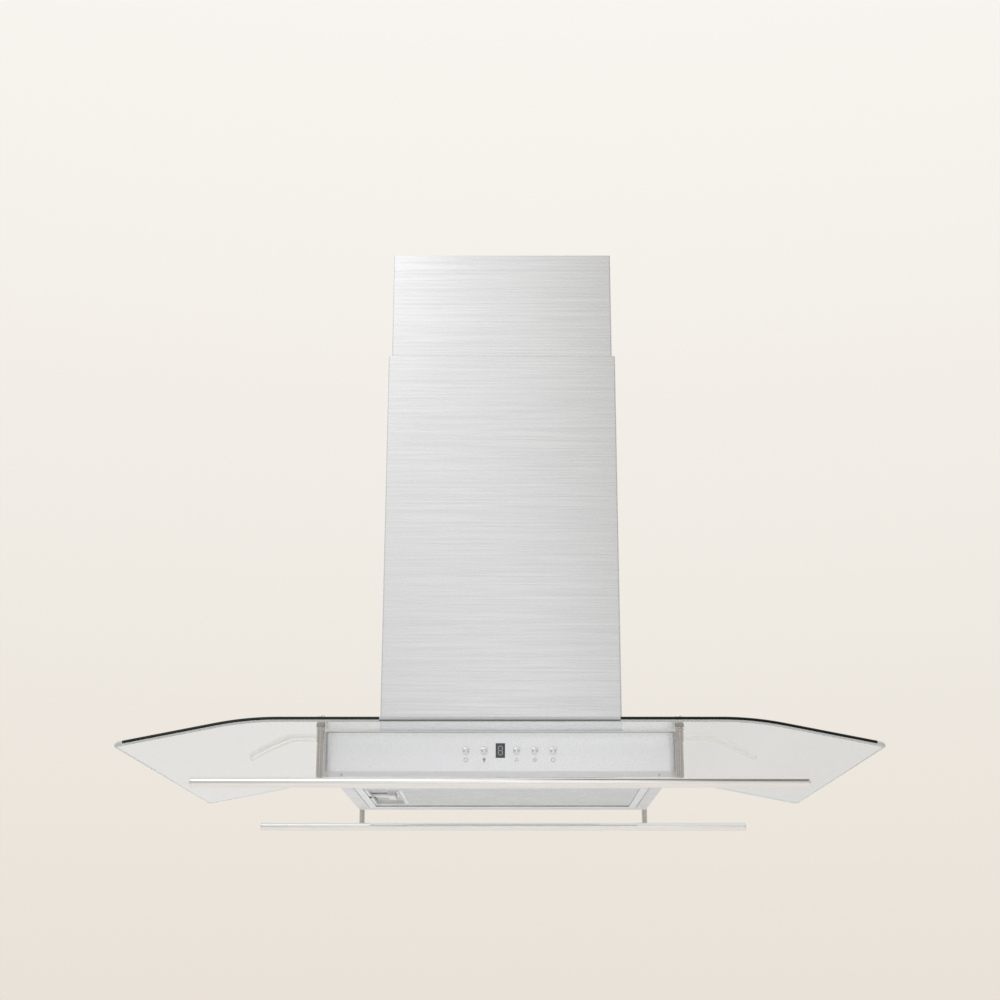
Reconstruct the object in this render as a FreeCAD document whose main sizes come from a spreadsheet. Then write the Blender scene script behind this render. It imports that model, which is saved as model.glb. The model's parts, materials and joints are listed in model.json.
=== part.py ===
import FreeCAD, Part
import math
import os
import re
import Sketcher

# An island cooker hood: a bent glass canopy hung from the ceiling by a telescopic frame
# inside a square chimney, with the blower in the chimney and the filter, lamps and
# control strip in a shallow steel body under the glass.
#
# Frame: millimetres, +Z up, origin at the middle of the ceiling face of the ceiling plate.
# -Y is the front, where the controls are, and +X is to the right of someone facing them.

doc = FreeCAD.newDocument("cooker_hood")
Vector = FreeCAD.Vector
X_AXIS = Vector(1, 0, 0)
Y_AXIS = Vector(0, 1, 0)
Z_AXIS = Vector(0, 0, 1)

# ---------------------------------------------------------------- driving dimensions

SIZES = {
    # canopy
    "ceiling_drop": 670,          # ceiling to the underside of the flat glass
    "glass_width": 900,
    "glass_depth": 600,
    "glass_thick": 6,
    "glass_flat": 516,            # width of the flat middle
    "bend_radius": 380,           # underside radius where a wing starts to droop
    "wing_angle": 11.1,           # slope of the straight end of a wing, degrees
    "glass_corner": 12,           # plan radius of the four outer corners
    # chimney covers
    "lower_cover_width": 305,
    "lower_cover_depth": 300,
    "lower_cover_length": 514,
    "cover_nest": 4,              # upper cover's face inside the lower cover's, each side
    "upper_cover_length": 390,
    "cover_sheet": 0.8,
    "hem_gap": 0.5,               # lower cover's top lip to the upper cover
    "seam_lap": 12,               # width of the lap inside each side seam
    "seam_gap": 0.3,
    "cover_top_gap": 0.5,         # cover to ceiling
    "glide_width": 30,
    "glide_height": 20,
    "glide_gap": 0.4,
    "glide_centre": 90,           # pads from the middle of each side
    "glide_rise": 5,              # pads above the upper cover's lower edge
    "cover_screw_y": 70,
    "cover_screw_drop": 12,
    "cover_screw_radius": 1.9,
    "cover_screw_head": 3.5,
    "cover_screw_head_thick": 1.8,
    "rivet_radius": 1.6,
    "rivet_head": 3,
    "rivet_head_thick": 1.2,
    "rivet_pitch": 145,
    "rivet_first": 38,            # lowest rivets above the lower cover's edge
    # ceiling plate and frames
    "plate_thick": 2.5,
    "plate_flange": 20,
    "duct_opening": 190,
    "frame_ring": 25,             # width of the ring that carries the uprights
    "frame_ring_thick": 3,
    "upper_frame_gap": 9.7,       # uprights inside the upper cover
    "upper_frame_recess": 3.5,    # uprights' ends above the cover's lower edge
    "angle_leg": 25,
    "angle_thick": 2,
    "frame_nest_gap": 0.4,        # lower uprights inside the upper ones
    "height_travel_down": 150,
    "height_travel_up": 50,
    "height_bolt_radius": 3,
    "height_slot_gap": 0.3,
    "height_bolt_drop": 225,      # ceiling to the height bolts as photographed
    "height_bolt_inset": 15,      # from the upright's corner
    "anchor_radius": 4.25,
    "anchor_spacing_y": 180,
    "frame_bolt_radius": 3,
    "bolt_head_radius": 5.8,
    "bolt_head_height": 4,
    "bolt_gap": 0.3,
    "thread_gap": 0.02,           # bolts and rivets in the holes that grip them
    "bolt_end": 1,                # bolts beyond their nuts
    "stud_end": 2,
    "stud_recess": 0.2,           # press studs below the ceiling
    # glass clamp
    "base_ring_gap": 1.7,         # base ring inside the lower cover
    "base_ring_band": 22,
    "ring_hole_margin": 1,        # base ring's opening beyond the glass's
    "gasket_thick": 1.5,
    "pan_gasket_thick": 2,
    "clamp_inset": 10.5,          # clamp bolts from the base ring's edge
    "clamp_spacing": 180,
    "clamp_bolt_radius": 3,
    "glass_bolt_hole": 4,
    # body
    "body_width": 416,
    "body_depth": 380,
    "body_height": 50,            # glass underside to the pan's underside
    "body_sheet": 1,
    "body_corner": 3,
    "air_hole_ledge": 6,          # top plate inside the blower chamber's walls
    # grease filter
    "filter_side_margin": 17,     # filter's side from the body's side
    "filter_rear_margin": 37,     # filter's rear from the body's rear
    "filter_front_margin": 105,   # filter's front from the body's front
    "filter_thick": 8,
    "filter_proud": 1,            # below the pan's underside
    "filter_rim": 11,
    "filter_sheet": 1,
    "filter_gap": 2,              # frame to the pan's opening, front and rear
    "filter_side_gap": 2.5,
    "mesh_gap": 0.2,
    "mesh_pitch": 18,
    "mesh_bar": 7,
    "hinge_inset": 7,             # pin's axis from the frame's right edge
    "hinge_rise": 5.5,            # pin's axis above the frame's underside
    "hinge_pin_radius": 2,
    "hinge_running_gap": 0.06,
    "hinge_pin_length": 9,
    "clip_width": 10,
    "clip_thick": 6,
    "clip_rise": 4.5,             # clip's top above the pin's axis
    "pocket_width": 40,
    "pocket_depth": 147,
    "pocket_inset": 4,            # pocket from the filter rim's inner edge
    "pocket_wall": 1,
    "latch_travel": 6,
    "latch_slack": 1,             # pulled grip to the pocket's wall
    "latch_width": 16,
    "latch_thick": 2.5,
    "latch_gap": 0.3,
    "latch_reach": 1.6,           # bolt's tip beyond the filter frame
    "latch_grip_width": 10,
    "latch_grip_depth": 50,
    "latch_grip_height": 5,
    "latch_grip_rise": 0.5,       # grip above the filter's underside
    # control strip
    "fascia_width": 425,
    "fascia_side_border": 3,
    "fascia_lower_border": 7,
    "fascia_thick": 4,
    "fascia_top_gap": 0.4,
    "panel_height": 47,
    "panel_top": 2,               # panel's top edge below the glass
    "panel_thick": 2,
    "panel_setback": 1.4,
    "panel_gap": 0.2,
    "box_depth": 36,              # control box in front of the body
    "box_side_inset": 2.5,        # control box inside the fascia's outline
    "box_low_inset": 1,
    "box_sheet": 1.2,
    "box_top_gap": 1.5,
    "fascia_screw_inset": 22.5,
    "fascia_screw_rise": 3,       # fascia screws above its lower edge
    "fascia_screw_radius": 1.2,
    "fascia_screw_head": 1.7,
    "boss_radius": 2.6,
    "boss_length": 12,
    "boss_floor": 2,              # solid end of each screw boss
    "fascia_screw_end": 2,        # screw's end to that floor
    "fascia_screw_proud": 0.8,
    # buttons and display
    "button_radius": 4.5,
    "button_drop": 23.8,          # buttons' axis below the glass
    "button_pitch": 22,
    "button_first": 41.5,         # leftmost button's centre, left of the middle
    "button_gap": 0.3,
    "button_proud": 2.6,
    "button_dome": 1.1,
    "button_collar": 1.3,         # retaining collar beyond the cap
    "button_collar_thick": 1,
    "button_stem_radius": 2,
    "button_travel": 1.5,
    "guide_thick": 3,
    "guide_gap": 0.6,             # guide behind a pressed button's collar
    "guide_height": 30,
    "guide_half_width": 90,
    "guide_leg": 4,
    "display_width": 11.3,
    "display_height": 17.7,
    "window_thick": 1.2,
    "window_proud": 0.3,
    "board_setback": 13.1,        # control board behind the control panel
    "board_thick": 1.6,
    "board_width": 200,
    "board_height": 36,
    "switch_side": 6,
    "switch_height": 4,
    "switch_gap": 0.5,            # pressed stem to its switch
    # lamps
    "lamp_spacing": 230,
    "lamp_inset": 50,             # lamps from the body's front
    "lamp_radius": 28,
    "lamp_depth": 26,
    "lamp_wall": 1.2,
    "bezel_radius": 33,
    "bezel_thick": 2,
    "lens_radius": 24,
    "lens_recess": 0.3,           # lens inside its bezel
    "lens_gap": 0.2,
    "lens_thick": 2.5,
    "lamp_hole_gap": 0.5,
    "driver_gap": 4,              # lamp driver in front of the blower chamber
    "driver_width": 90,
    "driver_depth": 35,
    "driver_height": 22,
    # rails
    "rail_length": 728,
    "rail_radius": 6.35,
    "rail_wall": 1.2,
    "rail_inset": 32,             # rails from the glass's front and rear edges
    "rail_drop": 66.6,            # rail's axis below the glass
    "rail_cap_thick": 3,
    "post_centre_x": 212,
    "post_radius": 4,
    "stud_radius": 3,
    "sleeve_radius": 4.6,
    "sleeve_length": 18,
    "collar_radius": 5.4,
    "collar_thick": 1.5,
    "washer_thick": 1.5,
    "post_gap": 0.1,
    "cap_nut_radius": 4.8,
    "cap_nut_height": 5,
    "cap_nut_wall": 1.4,
    "cap_nut_gap": 0.1,           # stud's end to the cap nut's closed end
    # blower
    "chamber_gap": 6,             # chamber inside the opening in the glass
    "chamber_height": 242,
    "chamber_sheet": 1,
    "impeller_radius": 65,
    "blade_depth": 12,
    "blade_thick": 1.2,
    "blade_count": 36,
    "impeller_half_length": 42,
    "impeller_disc": 2,
    "impeller_ring": 3,
    "hub_radius": 12,
    "hub_half_length": 14,
    "scroll_gap": 0.8,            # scroll to the chamber's left wall
    "scroll_rise": 107,           # impeller's axis above the glass underside
    "scroll_clearance": 11,       # impeller to the first arc
    "scroll_step": 10,            # radius gained in each quarter turn
    "impeller_end_gap": 3,
    "scroll_wall": 1.2,
    "throat_offset": 27,          # outlet's left wall from the impeller's axis
    "inlet_overlap": 6,           # impeller's rim beyond the inlets
    "motor_radius": 42,
    "motor_gap": 2,               # hub to motor
    "motor_length": 52,
    "motor_shoulder": 6,          # step between the motor's case and its ends
    "motor_back": 11,             # solid part behind the shaft's bore
    "shaft_end": 4,               # shaft beyond the hub
    "shaft_end_gap": 1,
    "shaft_radius": 4,
    "shaft_gap": 0.05,
    "bracket_thick": 2,
    "bracket_leg": 6,
    "bracket_overlap": 10,        # bracket's legs beyond the inlet
    "grommet_thick": 3,
    # duct collar and flaps
    "collar_centre_x": 12,
    "spigot_radius": 74.5,
    "spigot_wall": 1,
    "spigot_length": 60,
    "spigot_flange": 8,
    "spigot_flange_thick": 1.2,
    "flap_rise": 20,              # flaps above the chamber's top
    "flap_thick": 1,
    "flap_gap": 0.5,
    "flap_axis_offset": 3,
    "flap_barrel_radius": 2,
    "flap_pin_radius": 1.5,
    "flap_running_gap": 0.06,
    "flap_ledge": 3,
    "flap_ledge_gap": 0.3,
    "flap_pin_recess": 0.2,
    # wiring
    "junction_width": 90,
    "junction_depth": 22,
    "junction_height": 60,
    "junction_rise": 130,         # junction box's foot above the glass underside
    "junction_wall": 2,
    "gland_radius": 7,
    "gland_bore": 4,
    "gland_length": 16,
    "gland_neck_wall": 1,
    "gland_neck_gap": 0.2,
    "gland_neck_end": 3,          # neck's end below the junction box's lid
    "gland_inset": 9,             # gland in front of the blower chamber
    "cable_hole": 6,              # hole for the cable, straight above the gland
}

# Places that several pieces share, each worked out from the sizes above.
PLACES = {
    "glass_low": "-ceiling_drop",
    "glass_high": "glass_low + glass_thick",
    "lower_cover_x": "lower_cover_width / 2",
    "lower_cover_y": "lower_cover_depth / 2",
    "upper_cover_x": "lower_cover_x - cover_nest",
    "upper_cover_y": "lower_cover_y - cover_nest",
    "upper_cover_high": "-cover_top_gap",
    "upper_cover_low": "upper_cover_high - upper_cover_length",
    "plate_x": "upper_cover_x - cover_sheet - seam_gap",
    "plate_y": "upper_cover_y - cover_sheet - seam_gap",
    "upper_x": "upper_cover_x - cover_sheet - upper_frame_gap",
    "upper_y": "upper_cover_y - cover_sheet - upper_frame_gap",
    "lower_x": "upper_x - angle_thick - frame_nest_gap",
    "lower_y": "upper_y - angle_thick - frame_nest_gap",
    "ring_mid_x": "upper_x - frame_ring / 2",
    "ring_mid_y": "upper_y - frame_ring / 2",
    "upper_frame_low": "upper_cover_low + upper_frame_recess",
    "base_ring_low": "glass_high + gasket_thick",
    "base_ring_high": "base_ring_low + frame_ring_thick",
    "base_x": "lower_cover_x - cover_sheet - base_ring_gap",
    "base_y": "lower_cover_y - cover_sheet - base_ring_gap",
    "base_hole_x": "base_x - base_ring_band",
    "base_hole_y": "base_y - base_ring_band",
    "glass_hole_x": "base_hole_x - ring_hole_margin",
    "glass_hole_y": "base_hole_y - ring_hole_margin",
    "clamp_x": "base_x - clamp_inset",
    "clamp_y": "base_y - clamp_inset",
    "pan_top": "glass_low - pan_gasket_thick",
    "pan_low": "glass_low - body_height",
    "body_x": "body_width / 2",
    "body_y": "body_depth / 2",
    "filter_x": "body_x - filter_side_margin",
    "filter_rear": "body_y - filter_rear_margin",
    "filter_front": "filter_front_margin - body_y",
    "filter_centre_y": "(filter_front + filter_rear) / 2",
    "filter_low": "pan_low - filter_proud",
    "filter_high": "filter_low + filter_thick",
    "hinge_x": "filter_x - hinge_inset",
    "hinge_z": "filter_low + hinge_rise",
    "pocket_left": "-filter_x + filter_rim + pocket_inset",
    "pocket_right": "pocket_left + pocket_width",
    "pocket_front": "filter_centre_y - pocket_depth / 2",
    "pocket_rear": "filter_centre_y + pocket_depth / 2",
    "pocket_high": "filter_high - filter_sheet",
    "grip_right": "pocket_right - pocket_wall - latch_slack - latch_travel",
    "latch_z": "filter_low + filter_thick / 2 - latch_thick / 2",
    "fascia_front": "body_y + box_depth + fascia_thick",
    "fascia_y": "-fascia_front",
    "fascia_high": "glass_low - fascia_top_gap",
    "panel_high": "glass_low - panel_top",
    "panel_low": "panel_high - panel_height",
    "fascia_low": "panel_low - fascia_lower_border",
    "fascia_x": "fascia_width / 2",
    "panel_x": "fascia_x - fascia_side_border",
    "panel_y": "fascia_y + panel_setback",
    "panel_back": "panel_y + panel_thick",
    "box_front": "fascia_y + fascia_thick",
    "box_high": "glass_low - box_top_gap",
    "box_low": "fascia_low + box_low_inset",
    "box_x": "fascia_x - box_side_inset",
    "screw_x": "fascia_x - fascia_screw_inset",
    "screw_z": "fascia_low + fascia_screw_rise",
    "button_z": "glass_low - button_drop",
    "rail_z": "glass_low - rail_drop",
    "rail_y": "glass_depth / 2 - rail_inset",
    "sleeve_high": "glass_low - washer_thick",
    "chamber_low": "pan_top",
    "chamber_high": "chamber_low + chamber_height",
    "chamber_x": "glass_hole_x - chamber_gap",
    "chamber_y": "glass_hole_y - chamber_gap",
    "scroll_z": "glass_low + scroll_rise",
    "scroll_first_radius": "impeller_radius + scroll_clearance",
    "scroll_left": "-chamber_x + chamber_sheet + scroll_gap + scroll_wall",
    "scroll_centre_x": "scroll_left + scroll_first_radius + scroll_step / 2",
    "scroll_half_depth": "impeller_half_length + impeller_end_gap",
    "scroll_outer_y": "scroll_half_depth + scroll_wall",
    "inlet_radius": "impeller_radius - inlet_overlap",
    "motor_start": "hub_half_length + motor_gap",
    "motor_end": "motor_start + motor_length",
    "bracket_reach": "inlet_radius + bracket_overlap",
    "flap_z": "chamber_high + flap_rise",
    "junction_low": "glass_low + junction_rise",
    "junction_high": "junction_low + junction_height",
    "gland_x": "junction_width / 4",
    "gland_y": "-chamber_y - gland_inset",
    "lamp_x": "lamp_spacing / 2",
    "lamp_y": "lamp_inset - body_y",
    "height_bolt_y": "upper_y - height_bolt_inset",
    "height_bolt_z": "-height_bolt_drop",
    "outlet_left": "scroll_centre_x + throat_offset",
    "outlet_right": "scroll_centre_x + scroll_first_radius + 2.5 * scroll_step",
    "board_y": "panel_back + board_setback",
    "guide_y": "panel_back + button_gap + button_collar_thick + button_travel + guide_gap",
    "stem_tip_y": "board_y - switch_height - switch_gap - button_travel",
    "lower_cover_low": "glass_high",
    "lower_cover_high": "lower_cover_low + lower_cover_length",
}

sheet = doc.addObject("Spreadsheet::Sheet", "Sizes")
for row, (alias, number) in enumerate(SIZES.items(), start=1):
    sheet.set(f"A{row}", alias)
    sheet.set(f"B{row}", str(number))
    sheet.setAlias(f"B{row}", alias)
places = doc.addObject("App::VarSet", "Places")


def formula(text):
    """Point every name in a formula at its cell or its shared place."""
    def owner(match):
        name = match.group(0)
        if name in SIZES:
            return "Sizes." + name
        return "Places." + name if name in PLACES else name
    return re.sub(r"[a-z][a-z_]*[a-z]", owner, str(text))


for place, text in PLACES.items():
    places.addProperty("App::PropertyFloat", place, "Places")
    places.setExpression(place, formula(text))
doc.recompute()


def number(name):
    """The value of one size or shared place, for shapes that formulas can't drive."""
    if name in SIZES:
        return float(sheet.get(name))
    return getattr(places, name)


# ---------------------------------------------------------------- building blocks

def bind(thing, **formulas):
    """Drive properties of an object with formulas of the named sizes."""
    for name, text in formulas.items():
        thing.setExpression(name.replace("__", "."), formula(text))
    return thing


def unnamed(kind):
    """A helper object, which is no sub-part by itself."""
    return doc.addObject(kind, "step")


def box(x, y, z):
    """A block between two corners; each argument is a pair of formulas, low and high."""
    block = unnamed("Part::Box")
    sides = {"Length": x, "Width": y, "Height": z}
    for side, (low, high) in sides.items():
        block.setExpression(side, formula(f"({high}) - ({low})"))
    return bind(block, Placement__Base__x=x[0], Placement__Base__y=y[0], Placement__Base__z=z[0])


def rod(radius, x, y, z, length, along="Z"):
    """A cylinder that starts at a point and runs along a positive axis."""
    turns = {
        "X": FreeCAD.Rotation(Y_AXIS, 90),
        "Y": FreeCAD.Rotation(X_AXIS, -90),
        "Z": FreeCAD.Rotation(),
    }
    bar = unnamed("Part::Cylinder")
    bar.Placement = FreeCAD.Placement(Vector(), turns[along])
    bind(bar, Radius=radius, Height=length)
    return bind(bar, Placement__Base__x=x, Placement__Base__y=y, Placement__Base__z=z)


def hexagon(radius, x, y, z, length, along="Z"):
    """A six-sided bolt head or nut, given by the radius over its corners."""
    head = unnamed("Part::Prism")
    if along == "X":
        head.Placement = FreeCAD.Placement(Vector(), FreeCAD.Rotation(Y_AXIS, 90))
    head.Polygon = 6
    bind(head, Circumradius=radius, Height=length)
    return bind(head, Placement__Base__x=x, Placement__Base__y=y, Placement__Base__z=z)


def union(pieces):
    """Pieces joined into one solid."""
    if len(pieces) == 1:
        return pieces[0]
    joined = unnamed("Part::MultiFuse")
    joined.Shapes = pieces
    joined.Refine = True
    return joined


def minus(base, *tools):
    """A solid with other solids taken out of it."""
    left = unnamed("Part::Cut")
    left.Base = base
    left.Tool = union(list(tools))
    left.Refine = True
    return left


def both(*pieces):
    """The space that all the pieces share."""
    shared = unnamed("Part::MultiCommon")
    shared.Shapes = list(pieces)
    return shared


subparts = []


def subpart(label, thing):
    """Name an object as one sub-part of the hood."""
    thing.Label = label
    subparts.append(thing)
    return thing


def group(label, pieces):
    """Like pieces that stay separate solids and share one sub-part."""
    return subpart(label, compound(pieces))


def compound(pieces):
    together = unnamed("Part::Compound")
    together.Links = pieces
    return together


def shaped(label, shape):
    """A sub-part whose shape is worked out here from the named sizes."""
    feature = doc.addObject("Part::Feature", label)
    feature.Shape = shape
    feature.Placement = FreeCAD.Placement()
    return subpart(label, feature)


# Sketches and features of the pieces that are drawn and padded.

def new_body(label):
    return subpart(label, doc.addObject("PartDesign::Body", label))


def sketch_on(body, role, height="0"):
    """A sketch on one of the body's own origin planes, lifted along the plane's normal."""
    plane = next(f for f in body.Origin.OriginFeatures if f.Role == role)
    sketch = body.newObject("Sketcher::SketchObject", "outline")
    sketch.AttachmentSupport = [(plane, "")]
    sketch.MapMode = "FlatFace"
    sketch.setExpression(".AttachmentOffset.Base.z", formula(height))
    return sketch


def dimension(sketch, kind, ends, start_value, text):
    """A named dimension that follows a formula."""
    index = sketch.addConstraint(Sketcher.Constraint(kind, *ends, start_value))
    name = f"size_{index}"
    sketch.renameConstraint(index, name)
    sketch.setExpression("Constraints." + name, formula(text))


def rectangle(sketch, x, y):
    """Four lines between two corners; x and y are pairs of formulas, low and high."""
    first = sketch.GeometryCount
    corners = [Vector(-1, -1, 0), Vector(1, -1, 0), Vector(1, 1, 0), Vector(-1, 1, 0)]
    for i in range(4):
        sketch.addGeometry(Part.LineSegment(corners[i], corners[(i + 1) % 4]), False)
    for i in range(4):
        ends = (first + i, 2, first + (i + 1) % 4, 1)
        sketch.addConstraint(Sketcher.Constraint("Coincident", *ends))
        direction = "Vertical" if i % 2 else "Horizontal"
        sketch.addConstraint(Sketcher.Constraint(direction, first + i))
    dimension(sketch, "DistanceX", (-1, 1, first, 1), -1, x[0])
    dimension(sketch, "DistanceX", (-1, 1, first + 2, 1), 1, x[1])
    dimension(sketch, "DistanceY", (-1, 1, first, 1), -1, y[0])
    dimension(sketch, "DistanceY", (-1, 1, first + 2, 1), 1, y[1])


def circle(sketch, x, y, radius):
    index = sketch.addGeometry(Part.Circle(Vector(1, 1, 0), Z_AXIS, 1), False)
    dimension(sketch, "DistanceX", (-1, 1, index, 3), 1, x)
    dimension(sketch, "DistanceY", (-1, 1, index, 3), 1, y)
    dimension(sketch, "Radius", (index,), 1, radius)


def pad(body, sketch, length, towards_plane=False, midplane=False):
    feature = body.newObject("PartDesign::Pad", "pad")
    feature.Profile = sketch
    feature.Reversed = towards_plane
    feature.Midplane = midplane
    return bind(feature, Length=length)


def pocket(body, sketch, depth, along_normal=False):
    """Cut a sketch into the body. A cut that misses it removes nothing, so that is tested."""
    doc.recompute()
    before = body.Shape.Volume
    feature = body.newObject("PartDesign::Pocket", "pocket")
    feature.Profile = sketch
    feature.Reversed = along_normal
    bind(feature, Length=depth)
    doc.recompute()
    if not body.Shape.Volume < before:
        raise ValueError(body.Label + ": a pocket removes nothing")
    return feature


def mirrored_pairs(x, y):
    """The four places that mirror each other in X and in Y."""
    return [(f"{i} * ({x})", f"{j} * ({y})") for i in (-1, 1) for j in (-1, 1)]


def fillet_upright_edges(body, radius, chosen):
    """Round the edges that run along Z and that the test picks by their middle."""
    doc.recompute()
    names = []
    for index, edge in enumerate(body.Shape.Edges, start=1):
        first, last = edge.Vertexes[0].Point, edge.Vertexes[-1].Point
        run = last - first
        if abs(run.z) > 0.9 * run.Length and chosen((first + last) / 2):
            names.append(f"Edge{index}")
    solid = body.Tip
    feature = body.newObject("PartDesign::Fillet", "fillet")
    feature.Base = (solid, names)
    return bind(feature, Radius=radius)


def side_pair(side, near, far):
    """Low and high formulas of a span on the positive or the negative side."""
    if side > 0:
        return near, far
    return f"-({far})", f"-({near})"


def span(centre, half):
    """Low and high formulas of a span about a centre."""
    return f"({centre}) - ({half})", f"({centre}) + ({half})"


def nut(radius, bore, x, y, z, length, along="Z"):
    """A hexagon nut with its bore."""
    return minus(hexagon(radius, x, y, z, length, along), rod(bore, x, y, z, length, along))


def clamp_places():
    """The eight bolts that clamp the glass, two along each side of the base ring."""
    half = "clamp_spacing / 2"
    return mirrored_pairs("clamp_x", half) + mirrored_pairs(half, "clamp_y")


def frame_ring(x, y, hole_x, hole_y, z, holes):
    """A flat rectangular ring with round holes; z is its low and high formula."""
    plate = box(span("0", x), span("0", y), z)
    cuts = [box(span("0", hole_x), span("0", hole_y), (f"{z[0]} - 1", f"{z[1]} + 1"))]
    for hole_at_x, hole_at_y, radius in holes:
        cuts.append(rod(radius, hole_at_x, hole_at_y, f"{z[0]} - 1", f"({z[1]}) - ({z[0]}) + 2"))
    return minus(plate, *cuts)


def angle_upright(side_x, side_y, x, y, low, high):
    """An upright of angle section whose outer corner is at x, y on the chosen sides."""
    outer = box(side_pair(side_x, f"{x} - angle_leg", x), side_pair(side_y, f"{y} - angle_leg", y),
                (low, high))
    inner = box(side_pair(side_x, f"{x} - 2 * angle_leg", f"{x} - angle_thick"),
                side_pair(side_y, f"{y} - 2 * angle_leg", f"{y} - angle_thick"),
                (f"{low} - 1", f"{high} + 1"))
    return minus(outer, inner)


CORNERS = [(-1, -1), (-1, 1), (1, -1), (1, 1)]


# ---------------------------------------------------------------- ceiling plate and frames

def make_ceiling_plate():
    """A plate with a downturned flange, which the anchors hold to the ceiling."""
    body = new_body("ceiling_plate")
    outline = sketch_on(body, "XY_Plane", "-plate_flange")
    rectangle(outline, span("0", "plate_x"), span("0", "plate_y"))
    pad(body, outline, "plate_flange")
    inside = sketch_on(body, "XY_Plane", "-plate_flange")
    rectangle(inside, span("0", "plate_x - plate_thick"), span("0", "plate_y - plate_thick"))
    pocket(body, inside, "plate_flange - plate_thick", along_normal=True)
    holes = sketch_on(body, "XY_Plane")
    rectangle(holes, span("0", "duct_opening / 2"), span("0", "duct_opening / 2"))
    for x, y in mirrored_pairs("ring_mid_x", "anchor_spacing_y / 2"):
        circle(holes, x, y, "anchor_radius")
    for x, y in frame_bolt_places():
        circle(holes, x, y, "frame_bolt_radius + bolt_gap")
    circle(holes, "gland_x", "gland_y", "cable_hole")
    pocket(body, holes, "plate_thick")
    screws = sketch_on(body, "YZ_Plane")
    for side in (-1, 1):
        circle(screws, f"{side} * cover_screw_y", "-cover_screw_drop", "cover_screw_radius + bolt_gap")
    pocket(body, screws, "2 * plate_x + 2").Midplane = True


def frame_bolt_places():
    """The four bolts that hold the upper frame's ring to the ceiling plate."""
    return [("-ring_mid_x", "0"), ("ring_mid_x", "0"), ("0", "-ring_mid_y"), ("0", "ring_mid_y")]


def height_slot(side_x, side_y):
    """The slot that a height bolt travels in, through one leg of an upper upright."""
    half = "height_bolt_radius + height_slot_gap"
    x = side_pair(side_x, "upper_x - angle_thick - 1", "upper_x + 1")
    y = f"{side_y} * height_bolt_y"
    low = "height_bolt_z - height_travel_down"
    high = "height_bolt_z + height_travel_up"
    ends = [rod(half, x[0], y, z, "angle_thick + 2", "X") for z in (low, high)]
    return union([box(x, span(y, half), (low, high))] + ends)


def make_upper_frame():
    """A ring under the ceiling plate with four slotted angle uprights."""
    holes = [(x, y, "anchor_radius") for x, y in mirrored_pairs("ring_mid_x", "anchor_spacing_y / 2")]
    holes += [(x, y, "frame_bolt_radius + bolt_gap") for x, y in frame_bolt_places()]
    holes.append(("gland_x", "gland_y", "cable_hole"))
    ring_low = "-plate_thick - frame_ring_thick"
    ring = frame_ring("upper_x", "upper_y", "upper_x - frame_ring", "upper_y - frame_ring",
                      (ring_low, "-plate_thick"), holes)
    uprights = []
    for side_x, side_y in CORNERS:
        upright = angle_upright(side_x, side_y, "upper_x", "upper_y", "upper_frame_low", ring_low)
        uprights.append(minus(upright, height_slot(side_x, side_y)))
    subpart("upper_frame", union([ring] + uprights))


def make_frame_bolts():
    """Press studs in the ceiling plate and the nuts that hold the frame to them."""
    pieces = []
    ring_low = "-plate_thick - frame_ring_thick"
    stud_low = f"{ring_low} - bolt_head_height - stud_end"
    for x, y in frame_bolt_places():
        pieces.append(rod("frame_bolt_radius", x, y, stud_low, f"-({stud_low}) - stud_recess"))
        pieces.append(nut("bolt_head_radius", "frame_bolt_radius + thread_gap", x, y,
                          f"{ring_low} - bolt_head_height", "bolt_head_height"))
    group("frame_bolts", pieces)


def make_lower_frame():
    """The base ring on the glass, with four uprights that telescope in the upper ones."""
    holes = [(x, y, "clamp_bolt_radius + bolt_gap") for x, y in clamp_places()]
    ring = frame_ring("base_x", "base_y", "base_hole_x", "base_hole_y",
                      ("base_ring_low", "base_ring_high"), holes)
    uprights = []
    for side_x, side_y in CORNERS:
        upright = angle_upright(side_x, side_y, "lower_x", "lower_y", "base_ring_high",
                                "height_bolt_z + height_bolt_inset")
        start = side_pair(side_x, "lower_x - angle_thick - 1", "lower_x + 1")[0]
        hole = rod("height_bolt_radius + bolt_gap", start, f"{side_y} * height_bolt_y",
                   "height_bolt_z", "angle_thick + 2", "X")
        uprights.append(minus(upright, hole))
    subpart("lower_frame", union([ring] + uprights))


def make_height_bolts():
    """The bolts through the slots, with their nuts inside the lower uprights."""
    pieces = []
    head_near = "upper_x + bolt_gap"
    nut_far = "lower_x - angle_thick"
    for side_x, side_y in CORNERS:
        y = f"{side_y} * height_bolt_y"
        shank = side_pair(side_x, f"{nut_far} - bolt_head_height - bolt_end", head_near)
        head = side_pair(side_x, head_near, f"{head_near} + bolt_head_height - 1")
        nut_span = side_pair(side_x, f"{nut_far} - bolt_head_height", nut_far)
        bolt = union([
            rod("height_bolt_radius", shank[0], y, "height_bolt_z", f"{shank[1]} - ({shank[0]})", "X"),
            hexagon("bolt_head_radius", head[0], y, "height_bolt_z", "bolt_head_height - 1", "X"),
        ])
        pieces.append(bolt)
        pieces.append(nut("bolt_head_radius", "height_bolt_radius + thread_gap", nut_span[0], y,
                          "height_bolt_z", "bolt_head_height", "X"))
    group("height_bolts", pieces)


# ---------------------------------------------------------------- chimney covers

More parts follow.
